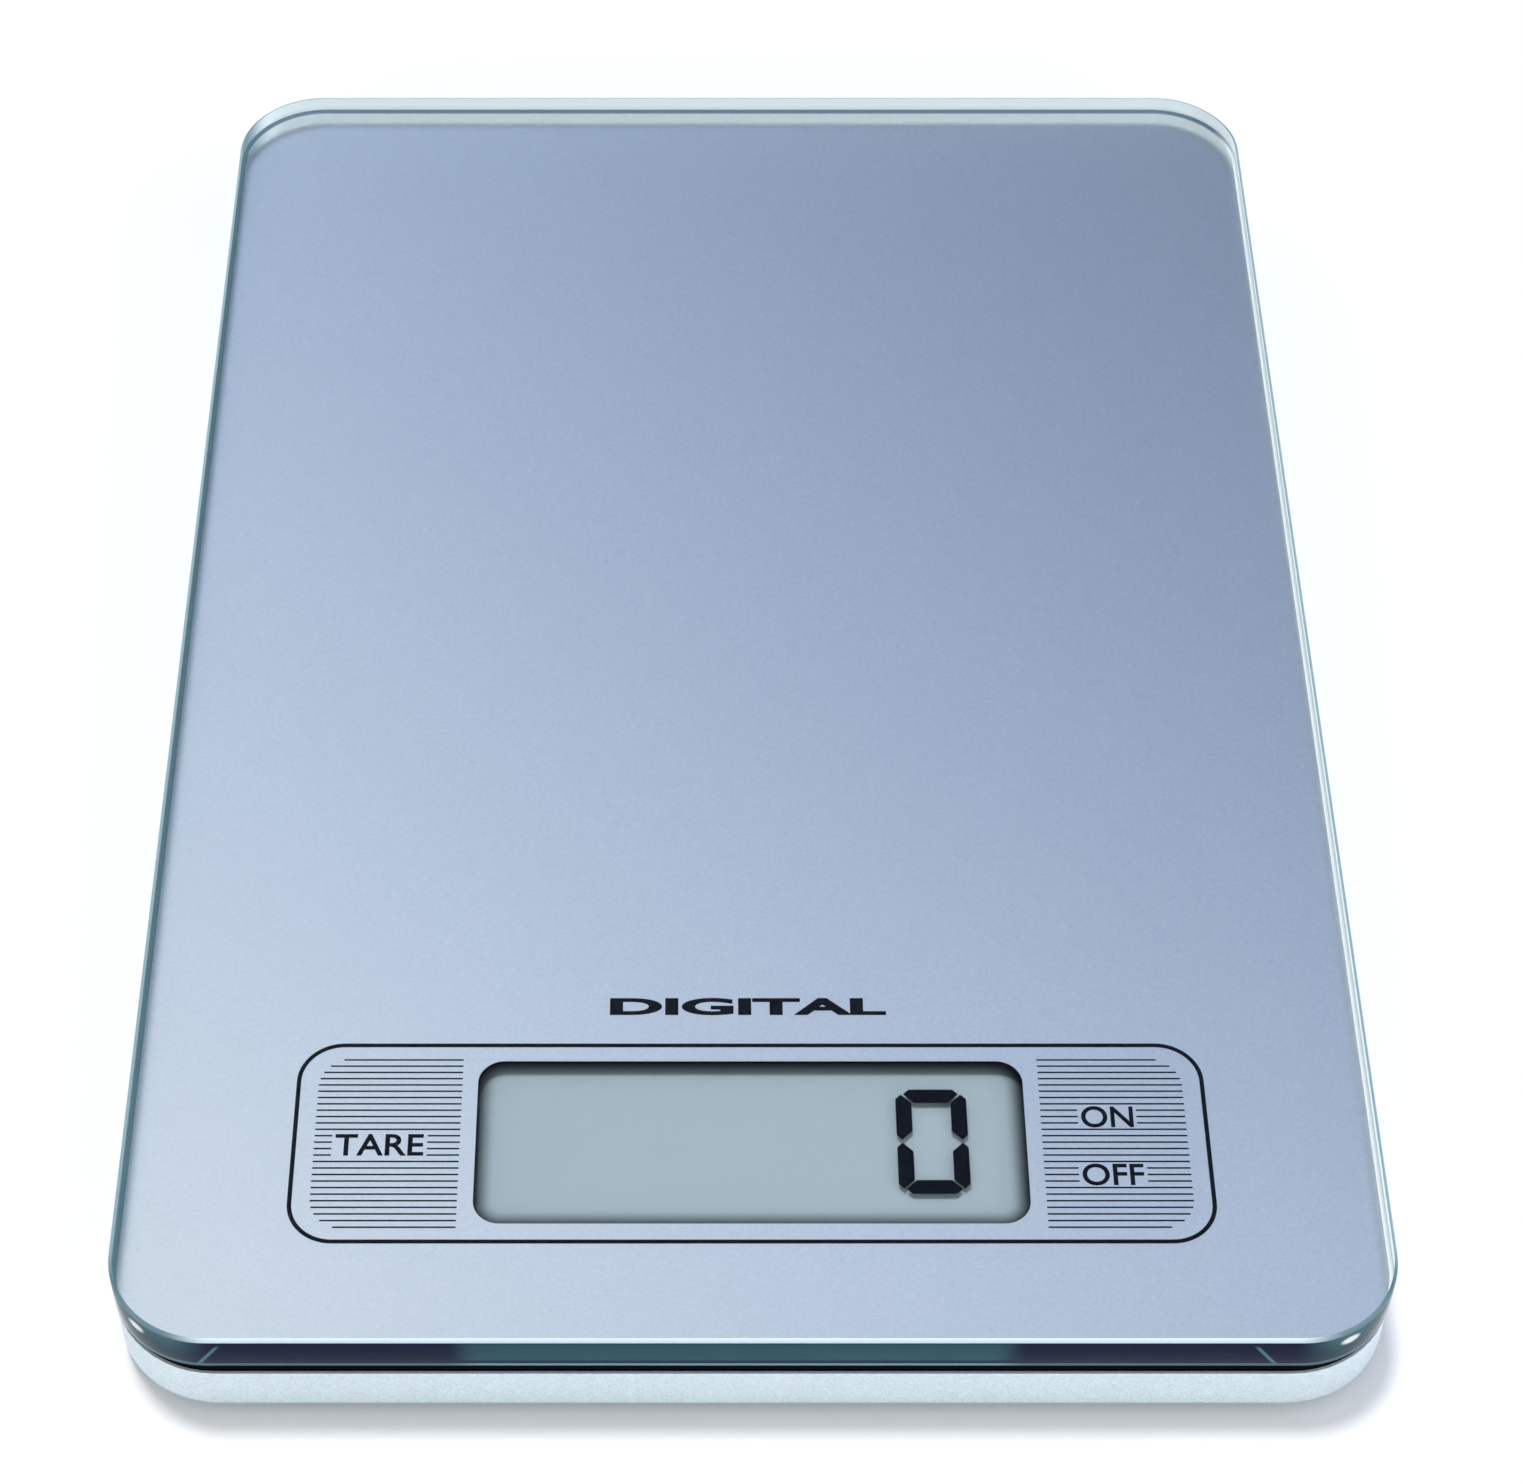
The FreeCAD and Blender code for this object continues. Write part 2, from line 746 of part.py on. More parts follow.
def load_cell_wires(side, end):
    """Three insulated wires from the sealant to the board."""
    start_x = side * (cell_x - gauge_width / 2)
    wires = []
    for lane in (-1, 0, 1):
        y = end * (cell_y - gauge_start - gauge_length / 2 + wire_pitch * lane)
        start = Vector(start_x, y, wire_z)
        if end < 0:
            run = Vector(side * (board_half_width - wire_landing) - start_x, 0, 0)
            wires.append(Part.makeCylinder(wire_radius, run.Length, start, run))
        else:
            lane_x = side * rear_wire_x(lane)
            corner = Vector(lane_x, y, wire_z)
            finish = Vector(lane_x, board_rear - wire_landing, wire_z)
            wires.append(tube([start, corner, finish], wire_bend + wire_pitch * lane, wire_radius))
    return Part.makeCompound(wires)


# --- screws and label ------------------------------------------------------------------------------
def housing_screws():
    screws = []
    head_bottom = base_bottom + screw_head_set_back
    head_top = head_bottom + screw_head_height
    slot_top = head_bottom + screw_slot_depth
    for x, y in screw_places:
        head = disc(screw_head_diameter, x, y, head_bottom, head_top)
        shank = disc(screw_diameter, x, y, head_top - merge, board_bottom + screw_bite)
        slots = [
            centred_block(screw_slot_length, screw_slot_width, x, y, head_bottom, slot_top),
            centred_block(screw_slot_width, screw_slot_length, x, y, head_bottom, slot_top),
        ]
        screws.append(cut_all(fuse_all(head, [shank]), slots))
    return Part.makeCompound(screws)


def pcb_screws():
    screws = []
    head_bottom = board_bottom - board_screw_head_height
    for x, y in board_screw_places:
        head = disc(board_screw_head, x, y, head_bottom, board_bottom)
        shank = disc(board_screw_diameter, x, y, board_bottom - merge, board_top + board_screw_bite)
        screws.append(fuse_all(head, [shank]))
    return Part.makeCompound(screws)


def rating_label():
    return rounded_block(label_width, label_length, label_corner, base_bottom - label_thickness,
                         base_bottom, 0.0, label_behind)


# --- write every sub-part --------------------------------------------------------------------------
nodes = {
    "glass_platform": glass_platform(),
    "backing_film": backing_film(),
    "platform_tape": platform_tape(),
    "lcd_gasket": lcd_gasket(),
    "carrier_frame": carrier_frame(),
    "base_shell": base_shell(),
    "battery_cell": battery_cell(),
    "battery_contact_negative": battery_contact_negative(),
    "battery_contact_positive": battery_contact_positive(),
    "battery_leads": battery_leads(),
    "battery_door": battery_door(),
    "battery_door_latch": battery_door_latch(),
    "lcd_cell": lcd_cell(),
    "lcd_reflector": lcd_reflector(),
    "lcd_bezel": lcd_bezel(),
    "lcd_zebra_strips": lcd_zebra_strips(),
    "pcb_main": pcb_main(),
    "pcb_chip": pcb_chip(),
    "pcb_components": pcb_components(),
    "touch_contact_tare": touch_contact(key_tare_x),
    "touch_contact_power": touch_contact(key_power_x),
    "unit_switch": unit_switch(),
    "unit_switch_plunger": unit_switch_plunger(),
    "unit_button": unit_button(),
    "housing_screws": housing_screws(),
    "pcb_screws": pcb_screws(),
    "rating_label": rating_label(),
}
corner_parts = {
    "load_cell_plate": load_cell_plate,
    "load_cell_potting": load_cell_potting,
    "load_cell_holder": load_cell_holder,
    "load_cell_wires": load_cell_wires,
    "foot": foot,
    "foot_pad": foot_pad,
    "foot_retainer": foot_retainer,
}
for corner_name, (side, end) in corners.items():
    for part_name, make_part in corner_parts.items():
        nodes[part_name + "_" + corner_name] = make_part(side, end)

os.makedirs("parts", exist_ok=True)
for node_name, shape in nodes.items():
    shape.exportStep("parts/" + node_name + ".step")
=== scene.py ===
import math

import bmesh
import bpy
from bpy.props import FloatProperty, FloatVectorProperty, IntProperty, PointerProperty, StringProperty
from bpy.types import Operator, Panel, PropertyGroup
from mathutils import Matrix, Vector


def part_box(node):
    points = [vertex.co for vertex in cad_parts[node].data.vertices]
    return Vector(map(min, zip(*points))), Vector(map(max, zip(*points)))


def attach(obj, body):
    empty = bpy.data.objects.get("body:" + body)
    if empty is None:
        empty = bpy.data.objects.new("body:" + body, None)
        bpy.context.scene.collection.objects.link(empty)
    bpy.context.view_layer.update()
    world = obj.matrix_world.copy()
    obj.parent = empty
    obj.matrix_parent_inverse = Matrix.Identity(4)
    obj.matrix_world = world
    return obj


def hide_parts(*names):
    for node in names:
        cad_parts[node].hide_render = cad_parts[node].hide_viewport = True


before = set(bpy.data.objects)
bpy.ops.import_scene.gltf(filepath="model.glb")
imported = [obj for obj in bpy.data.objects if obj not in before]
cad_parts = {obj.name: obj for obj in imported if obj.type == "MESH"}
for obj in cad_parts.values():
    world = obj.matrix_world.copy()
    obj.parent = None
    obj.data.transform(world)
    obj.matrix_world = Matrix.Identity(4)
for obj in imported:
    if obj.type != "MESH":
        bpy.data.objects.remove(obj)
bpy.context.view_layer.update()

bl_info = {
    "name": "Glass kitchen scale looks",
    "version": (1, 0, 0),
    "blender": (4, 5, 0),
    "location": "3D View > Sidebar > Kitchen Scale",
    "description": "Dresses the packed kitchen scale with its glass, printing, display and finishes",
    "category": "Object",
}

# --- places read from the frame --------------------------------------------------------------------
glass_low, glass_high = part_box("glass_platform")
film_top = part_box("backing_film")[1].z
display_low, display_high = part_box("lcd_cell")
door_low, door_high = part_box("battery_door")
label_low, label_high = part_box("rating_label")

display_middle = (display_low + display_high) / 2
label_middle = (label_low + label_high) / 2
CORNERS = ("front_left", "front_right", "rear_left", "rear_right")


def length(name, default, description):
    return FloatProperty(name=name, description=description, default=default, unit="LENGTH", precision=5)


def colour(name, default, description):
    return FloatVectorProperty(
        name=name, description=description, default=default, subtype="COLOR", size=3, min=0.0, max=1.0
    )


# --- what a user can change ------------------------------------------------------------------------
class GlassSizes(PropertyGroup):
    corner: length("Corner radius", 0.0125, "Radius of the plan corners of the glass")
    arris: length("Arris", 0.00045, "Width of the ground bevel along the top edge of the glass")
    low_arris: length("Low arris", 0.0006, "Width of the ground bevel along the bottom edge of the glass")
    corner_steps: IntProperty(name="Corner steps", description="Flats in each rounded corner", default=28)
    arris_steps: IntProperty(name="Arris steps", description="Flats across each bevel", default=3)


class PrintSizes(PropertyGroup):
    ink: length("Ink thickness", 0.00003, "Thickness of the printed ink")
    ink_gap: FloatProperty(
        name="Ink gap", description="Clear space between the film and the ink", default=0.000003, precision=7
    )
    outline_width: length("Outline width", 0.1134, "Middle of the printed outline, side to side")
    outline_depth: length("Outline depth", 0.0293, "Middle of the printed outline, front to back")
    outline_corner: length("Outline corner", 0.0055, "Corner radius of the printed outline")
    outline_line: length("Outline line", 0.00055, "Width of the printed outline's line")
    outline_ahead: length("Outline ahead", 0.0001, "How far the outline sits ahead of the window's middle")
    hatch_rows: IntProperty(name="Hatch rows", description="Fine lines beside the window", default=27)
    hatch_pitch: length("Hatch pitch", 0.000961, "Distance from one fine line to the next")
    hatch_line: length("Hatch line", 0.0002, "Width of a fine line")
    hatch_inner: length("Hatch inner end", 0.03615, "Where the fine lines start beside the window")
    hatch_outer: length("Hatch outer end", 0.0542, "Where the longest fine lines end")
    hatch_corner: length("Hatch corner", 0.0043, "Rounding of the hatched field's outer corners")
    hatch_ahead: length("Hatch ahead", 0.0001, "How far the fine lines sit ahead of the outline's middle")
    letter_gap: length("Letter gap", 0.00042, "Clear space between a fine line and a letter")
    tare: StringProperty(name="Left key", description="Word printed on the left key", default="TARE")
    power_on: StringProperty(name="Right key, top", description="Upper word on the right key", default="ON")
    power_off: StringProperty(name="Right key, low", description="Lower word on the right key", default="OFF")
    kind: StringProperty(name="Kind", description="Word printed behind the window", default="DIGITAL")


class DisplaySizes(PropertyGroup):
    digit_width: length("Digit width", 0.0089, "Width of one digit")
    digit_height: length("Digit height", 0.0156, "Height of one digit")
    segment: length("Segment width", 0.0020, "Width of one bar of a digit")
    segment_gap: length("Segment gap", 0.0003, "Space between two bars of a digit")
    digit_x: length("Digit place", 0.02266, "Middle of the last digit, from the middle of the scale")
    digit_ahead: length("Digit ahead", -0.0010, "How far the digit sits ahead of the window's middle")
    digit_rise: length("Digit rise", 0.0009, "How far the digit lies above the display's underside")
    digit_thickness: length("Digit thickness", 0.00006, "Thickness of the digit's bars")
    window_width: length("Window width", 0.0684, "Width of the clear window in the film")
    window_depth: length("Window depth", 0.0243, "Front to back of the clear window in the film")
    window_corner: length("Window corner", 0.0033, "Corner radius of the window")


class FinishColours(PropertyGroup):
    film: colour("Film", (0.790, 0.830, 0.850), "Silver-blue film under the glass")
    base: colour("Base", (0.78, 0.90, 0.97), "Silver base shell")
    ink: colour("Ink", (0.004, 0.005, 0.008), "Printing on the film")
    reflector: colour("Display", (0.455, 0.515, 0.570), "Field behind the display segments")
    edge: colour("Glass edge", (0.006, 0.013, 0.050), "Deep edge of the glass plate")


class StudioSizes(PropertyGroup):
    floor: FloatProperty(name="Floor size", description="Side of the floor", default=6.0, unit="LENGTH")
    lens: FloatProperty(name="Lens", description="Focal length of the camera in mm", default=88.41)
    tilt: FloatProperty(
        name="Camera tilt", description="Tilt up from straight down", default=math.radians(40.61),
        subtype="ANGLE",
    )
    camera_place: FloatVectorProperty(
        name="Camera place", description="Where the camera stands", default=(-0.007208, -0.347264, 0.39779),
        subtype="XYZ", unit="LENGTH", precision=5,
    )
    shift: FloatProperty(name="Lens shift", description="Sideways lens shift", default=0.0453, precision=4)


# --- material recipes ------------------------------------------------------------------------------
class Signal:
    """One shader socket. Arithmetic on it adds Math nodes, with a number or a signal on either side."""

    def __init__(self, recipe, socket):
        self.recipe = recipe
        self.socket = socket

    def other(self, name):
        return Signal(self.recipe, self.socket.node.outputs[name])

    def maths(self, operation, first, second=0.0):
        return self.recipe.add("ShaderNodeMath", {"operation": operation}, {0: first, 1: second})

    def __add__(self, number):
        return self.maths("ADD", self, number)

    def __radd__(self, number):
        return self.maths("ADD", number, self)

    def __sub__(self, number):
        return self.maths("SUBTRACT", self, number)

    def __rsub__(self, number):
        return self.maths("SUBTRACT", number, self)

    def __mul__(self, number):
        return self.maths("MULTIPLY", self, number)

    def __rmul__(self, number):
        return self.maths("MULTIPLY", number, self)

    def __truediv__(self, number):
        return self.maths("DIVIDE", self, number)

    def __pow__(self, number):
        return self.maths("POWER", self, number)

    def __abs__(self):
        return self.maths("ABSOLUTE", self)

    def least(self, number):
        return self.maths("MINIMUM", self, number)

    def most(self, number):
        return self.maths("MAXIMUM", self, number)

    def fold(self, width):
        """Runs up and down between 0 and width, like a ruler folded to and fro."""
        return self.maths("PINGPONG", self, width)

    def ramp(self, start, end):
        """0 up to start, 1 from end on, and smooth between them."""
        settings = {"interpolation_type": "SMOOTHSTEP"}
        inputs = {"Value": self, "From Min": start, "From Max": end}
        return self.recipe.add("ShaderNodeMapRange", settings, inputs)


class Recipe:
    """The nodes of one material or world."""

    def __init__(self, owner):
        owner.use_nodes = True
        self.owner = owner
        self.nodes = owner.node_tree.nodes
        self.links = owner.node_tree.links
        self.nodes.clear()

    def add(self, kind, settings=None, inputs=None, output=0):
        """One node: its settings first, then its sockets from numbers, colours or signals."""
        node = self.nodes.new(kind)
        for name, value in (settings or {}).items():
            setattr(node, name, value)
        for name, value in (inputs or {}).items():
            if isinstance(value, Signal):
                self.links.new(value.socket, node.inputs[name])
            else:
                node.inputs[name].default_value = value
        return Signal(self, node.outputs[output]) if node.outputs else None

    def place(self):
        return self.add("ShaderNodeTexCoord", output="Object")

    def axes(self):
        """The three Object coordinates, in metres."""
        split = self.add("ShaderNodeSeparateXYZ", None, {0: self.place()})
        return split, split.other("Y"), split.other("Z")

    def noise(self, size, detail, rough=0.5, at=None):
        """Cloudy noise from 0 to 1 with blobs about size metres across."""
        inputs = {"Vector": at or self.place(), "Scale": 1 / size, "Detail": detail, "Roughness": rough}
        return self.add("ShaderNodeTexNoise", None, inputs)

    def flakes(self, size):
        """A random level for each small cell about size metres across."""
        cells = self.add("ShaderNodeTexVoronoi", None, {"Vector": self.place(), "Scale": 1 / size})
        return self.add("ShaderNodeSeparateColor", None, {0: cells.other("Color")})

    def mix(self, factor, first, second):
        """A colour between two colours, which the node takes at its sockets 6 and 7."""
        inputs = {"Factor": factor, 6: as_colour(first), 7: as_colour(second)}
        return self.add("ShaderNodeMix", {"data_type": "RGBA"}, inputs, output=2)

    def bump(self, height, distance, strength):
        inputs = {"Height": height, "Distance": distance, "Strength": strength}
        return self.add("ShaderNodeBump", None, inputs)

    def blend(self, factor, first, second):
        return self.add("ShaderNodeMixShader", None, {0: factor, 1: first, 2: second})

    def surface(self, shader, volume=None):
        inputs = {"Surface": shader}
        if volume:
            inputs["Volume"] = volume
        self.add("ShaderNodeOutputMaterial", None, inputs)
        return self.owner

    def principled(self, **sockets):
        inputs = {name.replace("_", " "): value for name, value in sockets.items()}
        inputs["Base Color"] = as_colour(inputs["Base Color"])
        return self.add("ShaderNodeBsdfPrincipled", None, inputs)


def as_colour(value):
    if isinstance(value, Signal):
        return value
    return (*value[:3], 1.0)


def shade(tint, factor):
    return tuple(channel * factor for channel in tint)


def new_recipe(name):
    return Recipe(bpy.data.materials.new(name))


def glass_shell(make):
    """Coated float glass that lets light pass straight to what lies under it."""
    smears = make.noise(0.05, 3.0)
    shell = make.principled(
        Base_Color=(1.0, 1.0, 1.0), Roughness=smears * 0.012, IOR=1.52, Transmission_Weight=1.0,
        Specular_Tint=(0.03, 0.033, 0.036, 1.0),
    )
    passing = make.add("ShaderNodeBsdfTransparent", None, {"Color": (0.97, 0.985, 0.985, 1.0)})
    rays = make.add("ShaderNodeLightPath", output="Is Shadow Ray")
    return make.blend(rays, shell, passing)


def glass_depth(make):
    """The green-blue of a long way through the glass."""
    return make.add("ShaderNodeVolumeAbsorption", None, {"Color": (0.1, 0.73, 0.77, 1.0), "Density": 5.0})


def clear_glass():
    make = new_recipe("platform_glass")
    return make.surface(glass_shell(make), glass_depth(make))


def in_rounded_corner(x, y, sizes):
    """1 in the four rounded plan corners of the glass and 0 along its straight edges."""
    half_width = glass_high.x - sizes.corner
    half_depth = glass_high.y - sizes.corner
    past_sides = abs(x).ramp(half_width - 0.001, half_width + 0.005)
    past_ends = abs(y).ramp(half_depth - 0.001, half_depth + 0.005)
    return past_sides * past_ends


def near_side(place, half_size):
    """1 on the side of the plate at half_size along one axis, fading to 0 within a few millimetres."""
    return place.ramp(half_size - 0.0035, half_size - 0.0005)


def painted_corner_highlight(x, y, height, sizes, side, degrees):
    """A painted highlight: a small pale spot on a front corner; degrees is its place round the corner's arc.
    """
    spot_radius = 0.0016
    spot_height = 0.68
    turn = math.radians(degrees)
    spot_x = side * (glass_high.x - sizes.corner) + sizes.corner * math.cos(turn)
    spot_y = glass_low.y + sizes.corner + sizes.corner * math.sin(turn)
    level_part = ((x - spot_x) ** 2.0 + (y - spot_y) ** 2.0) / spot_radius ** 2
    upright_part = (height - spot_height) ** 2.0 / 0.022
    return 0.95 - 0.95 * (level_part + upright_part).ramp(0.15, 1.0)


def outer_edge_tone(make, x, y, height, cloud, tint, sizes):
    """Deep navy, with painted light: a teal stretch in the middle where the lit display shows through,
    slanted strokes, teal corners with painted shading that is lighter high up, a painted highlight line low
    down and two painted glints.
    """
    teal_middle = -0.002
    stroke_place = 0.0647
    stroke_lean = 0.004
    across = abs(x - teal_middle)
    middle = 1 - across.ramp(0.0305, 0.0345)
    # Painted light: a teal stretch in the middle where the lit display shows through the edge.
    painted_display_showing_through = middle * (1 - height.ramp(0.86, 0.93)) * height.ramp(0.22, 0.36)
    deep = make.mix(cloud, shade(tint, 0.6), tint)
    body = make.mix(painted_display_showing_through * (0.75 + 0.25 * cloud), deep, (0.030, 0.105, 0.135))
    on_ends = abs(y).ramp(glass_high.y - sizes.corner + 0.006, glass_high.y - sizes.corner + 0.010)
    # Painted shading: the rounded corners are darker low down and lighter high up.
    painted_corner_shading = make.mix(height.ramp(0.25, 0.95), (0.014, 0.045, 0.065), (0.060, 0.155, 0.190))
    body = make.mix(in_rounded_corner(x, y, sizes).most(1 - on_ends), body, painted_corner_shading)
    stroke = 1 - abs(across + stroke_lean * height - stroke_place).ramp(0.0001, 0.0004)
    stroke_ends = height.ramp(0.10, 0.25) * on_ends * (1 - height.ramp(0.70, 0.85))
    body = make.mix(stroke * stroke_ends, body, (0.07, 0.22, 0.26))
    # Two painted highlights, one on each front corner.
    for side, degrees in ((-1, 227), (1, -62)):
        painted_glint = painted_corner_highlight(x, y, height, sizes, side, degrees)
        body = make.mix(painted_glint, body, (0.96, 0.98, 1.0))
    # Painted highlight: a lighter teal line low on the edge, brightest in the middle.
    painted_low_highlight = (1 - abs(height - 0.14).ramp(0.02, 0.05)) * (0.45 + 0.55 * middle)
    return make.mix(painted_low_highlight, body, (0.14, 0.36, 0.43))


def glass_edge(tint, sizes):
    """Polished edge of the plate: dark from outside with painted light in its tone, and a painted pale glow,
    teal on the left, where it is seen through the glass.
    """
    make = new_recipe("platform_glass_edge")
    x, y, z = make.axes()
    height = (z - glass_low.z) / (glass_high.z - glass_low.z)
    cloud = make.noise(0.004, 3.0)
    polished = make.principled(
        Base_Color=outer_edge_tone(make, x, y, height, cloud, tint, sizes), Roughness=0.05 + 0.03 * cloud,
        Specular_IOR_Level=0.06, IOR=1.5,
    )
    # Painted light: the inner face glows by emission, pale, and teal on the left side.
    painted_light_tone = make.mix(near_side(0 - x, glass_high.x), (0.86, 0.94, 1.0), (0.26, 0.40, 0.45))
    painted_inner_glow = make.principled(
        Base_Color=painted_light_tone, Roughness=0.6 + 0.2 * cloud, Specular_IOR_Level=0.0,
        Emission_Color=painted_light_tone, Emission_Strength=0.6,
    )
    within = make.blend(0.65, glass_shell(make), painted_inner_glow)
    inside = make.add("ShaderNodeNewGeometry", output="Backfacing")
    return make.surface(make.blend(inside, polished, within), glass_depth(make))


def ground_arris(sizes):
    """The ground bevels: pale in front as a painted highlight, teal on the other sides, darker in the corners
    as painted shade, and on the low bevel near-black painted shade from below and painted light from inside,
    white on the right.
    """
    make = new_recipe("platform_glass_arris")
    x, y, z = make.axes()
    grain = make.noise(0.0004, 3.0)
    on_left = near_side(0 - x, glass_high.x)
    on_right = near_side(x, glass_high.x)
    on_rear = near_side(y, glass_high.y)
    low_side = 1 - z.ramp(glass_low.z + 0.001, glass_low.z + 0.002)
    inside = make.add("ShaderNodeNewGeometry", output="Backfacing")
    # Painted highlight: the front bevel is pale.
    painted_front_highlight = make.mix(grain, (0.62, 0.76, 0.84), (0.74, 0.88, 0.95))
    tone = make.mix(on_left * 0.85, painted_front_highlight, (0.17, 0.30, 0.36))
    tone = make.mix(on_right.most(on_rear) * 0.85, tone, (0.17, 0.31, 0.36))
    # Painted shade: darker teal in the rounded corners.
    tone = make.mix(in_rounded_corner(x, y, sizes) * 0.85, tone, (0.05, 0.14, 0.17))
    # Painted light on the low bevel seen through the glass: white on the right, teal on the left, blue-grey
    # elsewhere.
    painted_light_seen_through = make.mix(on_left, (0.32, 0.46, 0.56), (0.26, 0.42, 0.48))
    painted_light_seen_through = make.mix(on_right, painted_light_seen_through, (0.95, 0.98, 1.0))
    # Painted shade: the low bevel is near-black from outside.
    painted_low_bevel = make.mix(inside, (0.002, 0.004, 0.012), painted_light_seen_through)
    tone = make.mix(low_side, tone, painted_low_bevel)
    frosted = make.principled(Base_Color=tone, Roughness=0.05 + 0.06 * grain, Specular_IOR_Level=0.4)
    return make.surface(frosted)


def film_silver(tint):
    """Satin metallic film with a fine grain, laid under the glass."""
    make = new_recipe("silver_film")
    grain = make.flakes(0.00024)
    cloud = make.noise(0.006, 4.0)
    level = 0.82 + 0.20 * grain + 0.05 * cloud
    tone = make.mix(level.least(1.0), shade(tint, 0.55), tint)
    sheen = make.principled(
        Base_Color=tone, Metallic=0.97, Roughness=0.29 + 0.05 * grain,
        Normal=make.bump(grain, 0.000004, 0.25),
    )
    return make.surface(sheen)


def printed_ink(name, tint):
    """Screen-printed ink with a slightly uneven coat."""
    make = new_recipe(name)
    coat = make.noise(0.0006, 3.0)
    ink = make.principled(
        Base_Color=make.mix(coat, tint, shade(tint, 1.8)), Roughness=0.5 + 0.12 * coat,
        Specular_IOR_Level=0.03, Normal=make.bump(coat, 0.000003, 0.3),
    )
    return make.surface(ink)


def display_cover():
    """Thin display glass: clear, with a faint dark gloss on its outer side."""
    make = new_recipe("lcd_glass")
    clear = make.add("ShaderNodeBsdfTransparent", None, {"Color": (0.97, 0.985, 0.985, 1.0)})
    dust = make.noise(0.004, 3.0)
    gloss = make.principled(Base_Color=(0.01, 0.01, 0.01), Roughness=0.06 + 0.08 * dust)
    facing = make.add("ShaderNodeFresnel", None, {"IOR": 1.4})
    inside = make.add("ShaderNodeNewGeometry", output="Backfacing")
    return make.surface(make.blend(facing * 0.4 * (1 - inside), clear, gloss))


def display_field(tint, sizes):
    """Diffuse display field with a painted shadow that darkens it under the edge of the window, most of all
    at the rear.
    """
    make = new_recipe("lcd_reflector")
    x, y = make.axes()[:2]
    shadow_ahead = 0.0013
    corner = sizes.window_corner
    past_x = (abs(x - display_middle.x) - (sizes.window_width / 2 - corner)).most(0.0)
    past_y = (abs(y - display_middle.y - shadow_ahead) - (sizes.window_depth / 2 - corner)).most(0.0)
    outward = (past_x * past_x + past_y * past_y) ** 0.5
    # Painted shadow under the window's edge, moved toward the rear.
    shadow = outward.ramp(corner - 0.0024, corner + 0.0004)
    grain = make.noise(0.0005, 3.0)
    field = make.mix(grain, shade(tint, 0.97), shade(tint, 1.03))
    tone = make.mix(shadow, field, (0.001, 0.003, 0.010))
    paper = make.principled(Base_Color=tone, Roughness=0.55, Normal=make.bump(grain, 0.000004, 0.2))
    return make.surface(paper)


def display_ink():
    """Near-black liquid crystal segments with a faint blue cast."""
    make = new_recipe("lcd_segments")
    film = make.noise(0.0012, 2.0)
    tone = make.mix(film, (0.001, 0.0015, 0.004), (0.004, 0.005, 0.010))
    crystal = make.principled(Base_Color=tone, Roughness=0.5 + 0.1 * film, Specular_IOR_Level=0.03)
    return make.surface(crystal)


def base_silver(tint):
    """Moulded silver plastic with metallic flakes and a fine spark texture."""
    make = new_recipe("base_silver")
    flakes = make.flakes(0.00022)
    fine = make.noise(0.0005, 4.0, 0.65)
    wear = make.noise(0.03, 3.0)
    level = (flakes * 0.5 + fine * 0.5).ramp(0.12, 0.88)
    tone = make.mix(level, shade(tint, 0.86), shade(tint, 1.07))
    skin = make.principled(
        Base_Color=tone, Metallic=0.25 + 0.2 * flakes, Roughness=0.40 + 0.1 * fine + 0.05 * wear,
        Normal=make.bump(fine, 0.00002, 0.35),
    )
    return make.surface(skin)


def moulded_plastic(name, tint, rough, texture=0.0006, gloss=0.5):
    """Injection-moulded plastic with a spark-eroded texture and slight handling marks."""
    make = new_recipe(name)
    spark = make.noise(texture, 4.0, 0.6)
    marks = make.noise(0.012, 3.0)
    tone = make.mix(marks, shade(tint, 0.88), shade(tint, 1.1))
    skin = make.principled(
        Base_Color=tone, Roughness=rough - 0.06 + 0.08 * spark + 0.06 * marks,
        Specular_IOR_Level=gloss, Normal=make.bump(spark, 0.00001, 0.5),
    )
    return make.surface(skin)


def rubber(name, tint, pore=0.0004):
    """Matt rubber or foam with fine pores."""
    make = new_recipe(name)
    pores = make.noise(pore, 4.0, 0.7)
    bloom = make.noise(0.005, 2.0)
    tone = make.mix(bloom, shade(tint, 0.8), shade(tint, 1.25))
    skin = make.principled(
        Base_Color=tone, Roughness=0.72 + 0.2 * pores, Normal=make.bump(pores, 0.00003, 0.6)
    )
    return make.surface(skin)


def metal(name, tint, rough, along="X"):
    """Bright metal with fine rolling lines along one axis and a little staining."""
    make = new_recipe(name)
    stretch = {"X": (0.02, 1.0, 1.0), "Y": (1.0, 0.02, 1.0)}[along]
    drawn = make.add("ShaderNodeMapping", None, {"Vector": make.place(), "Scale": stretch})
    lines = make.noise(0.00012, 3.0, 0.6, at=drawn)
    stain = make.noise(0.004, 3.0)
    tone = make.mix(stain, shade(tint, 0.84), tint)
    skin = make.principled(
        Base_Color=tone, Metallic=1.0, Roughness=rough - 0.08 + 0.16 * lines + 0.06 * stain,
        Normal=make.bump(lines, 0.000006, 0.4),
    )
    return make.surface(skin)


def striped_rubber():
    """Contact strip of the display: conducting and insulating layers side by side."""
    make = new_recipe("zebra_rubber")
    stripes_per_metre = 2500.0
    x = make.axes()[0]
    stripe = (x * stripes_per_metre).fold(1.0)
    tone = make.mix(stripe.ramp(0.4, 0.6), (0.02, 0.02, 0.022), (0.55, 0.55, 0.56))
    return make.surface(make.principled(Base_Color=tone, Roughness=0.6 + 0.1 * stripe))


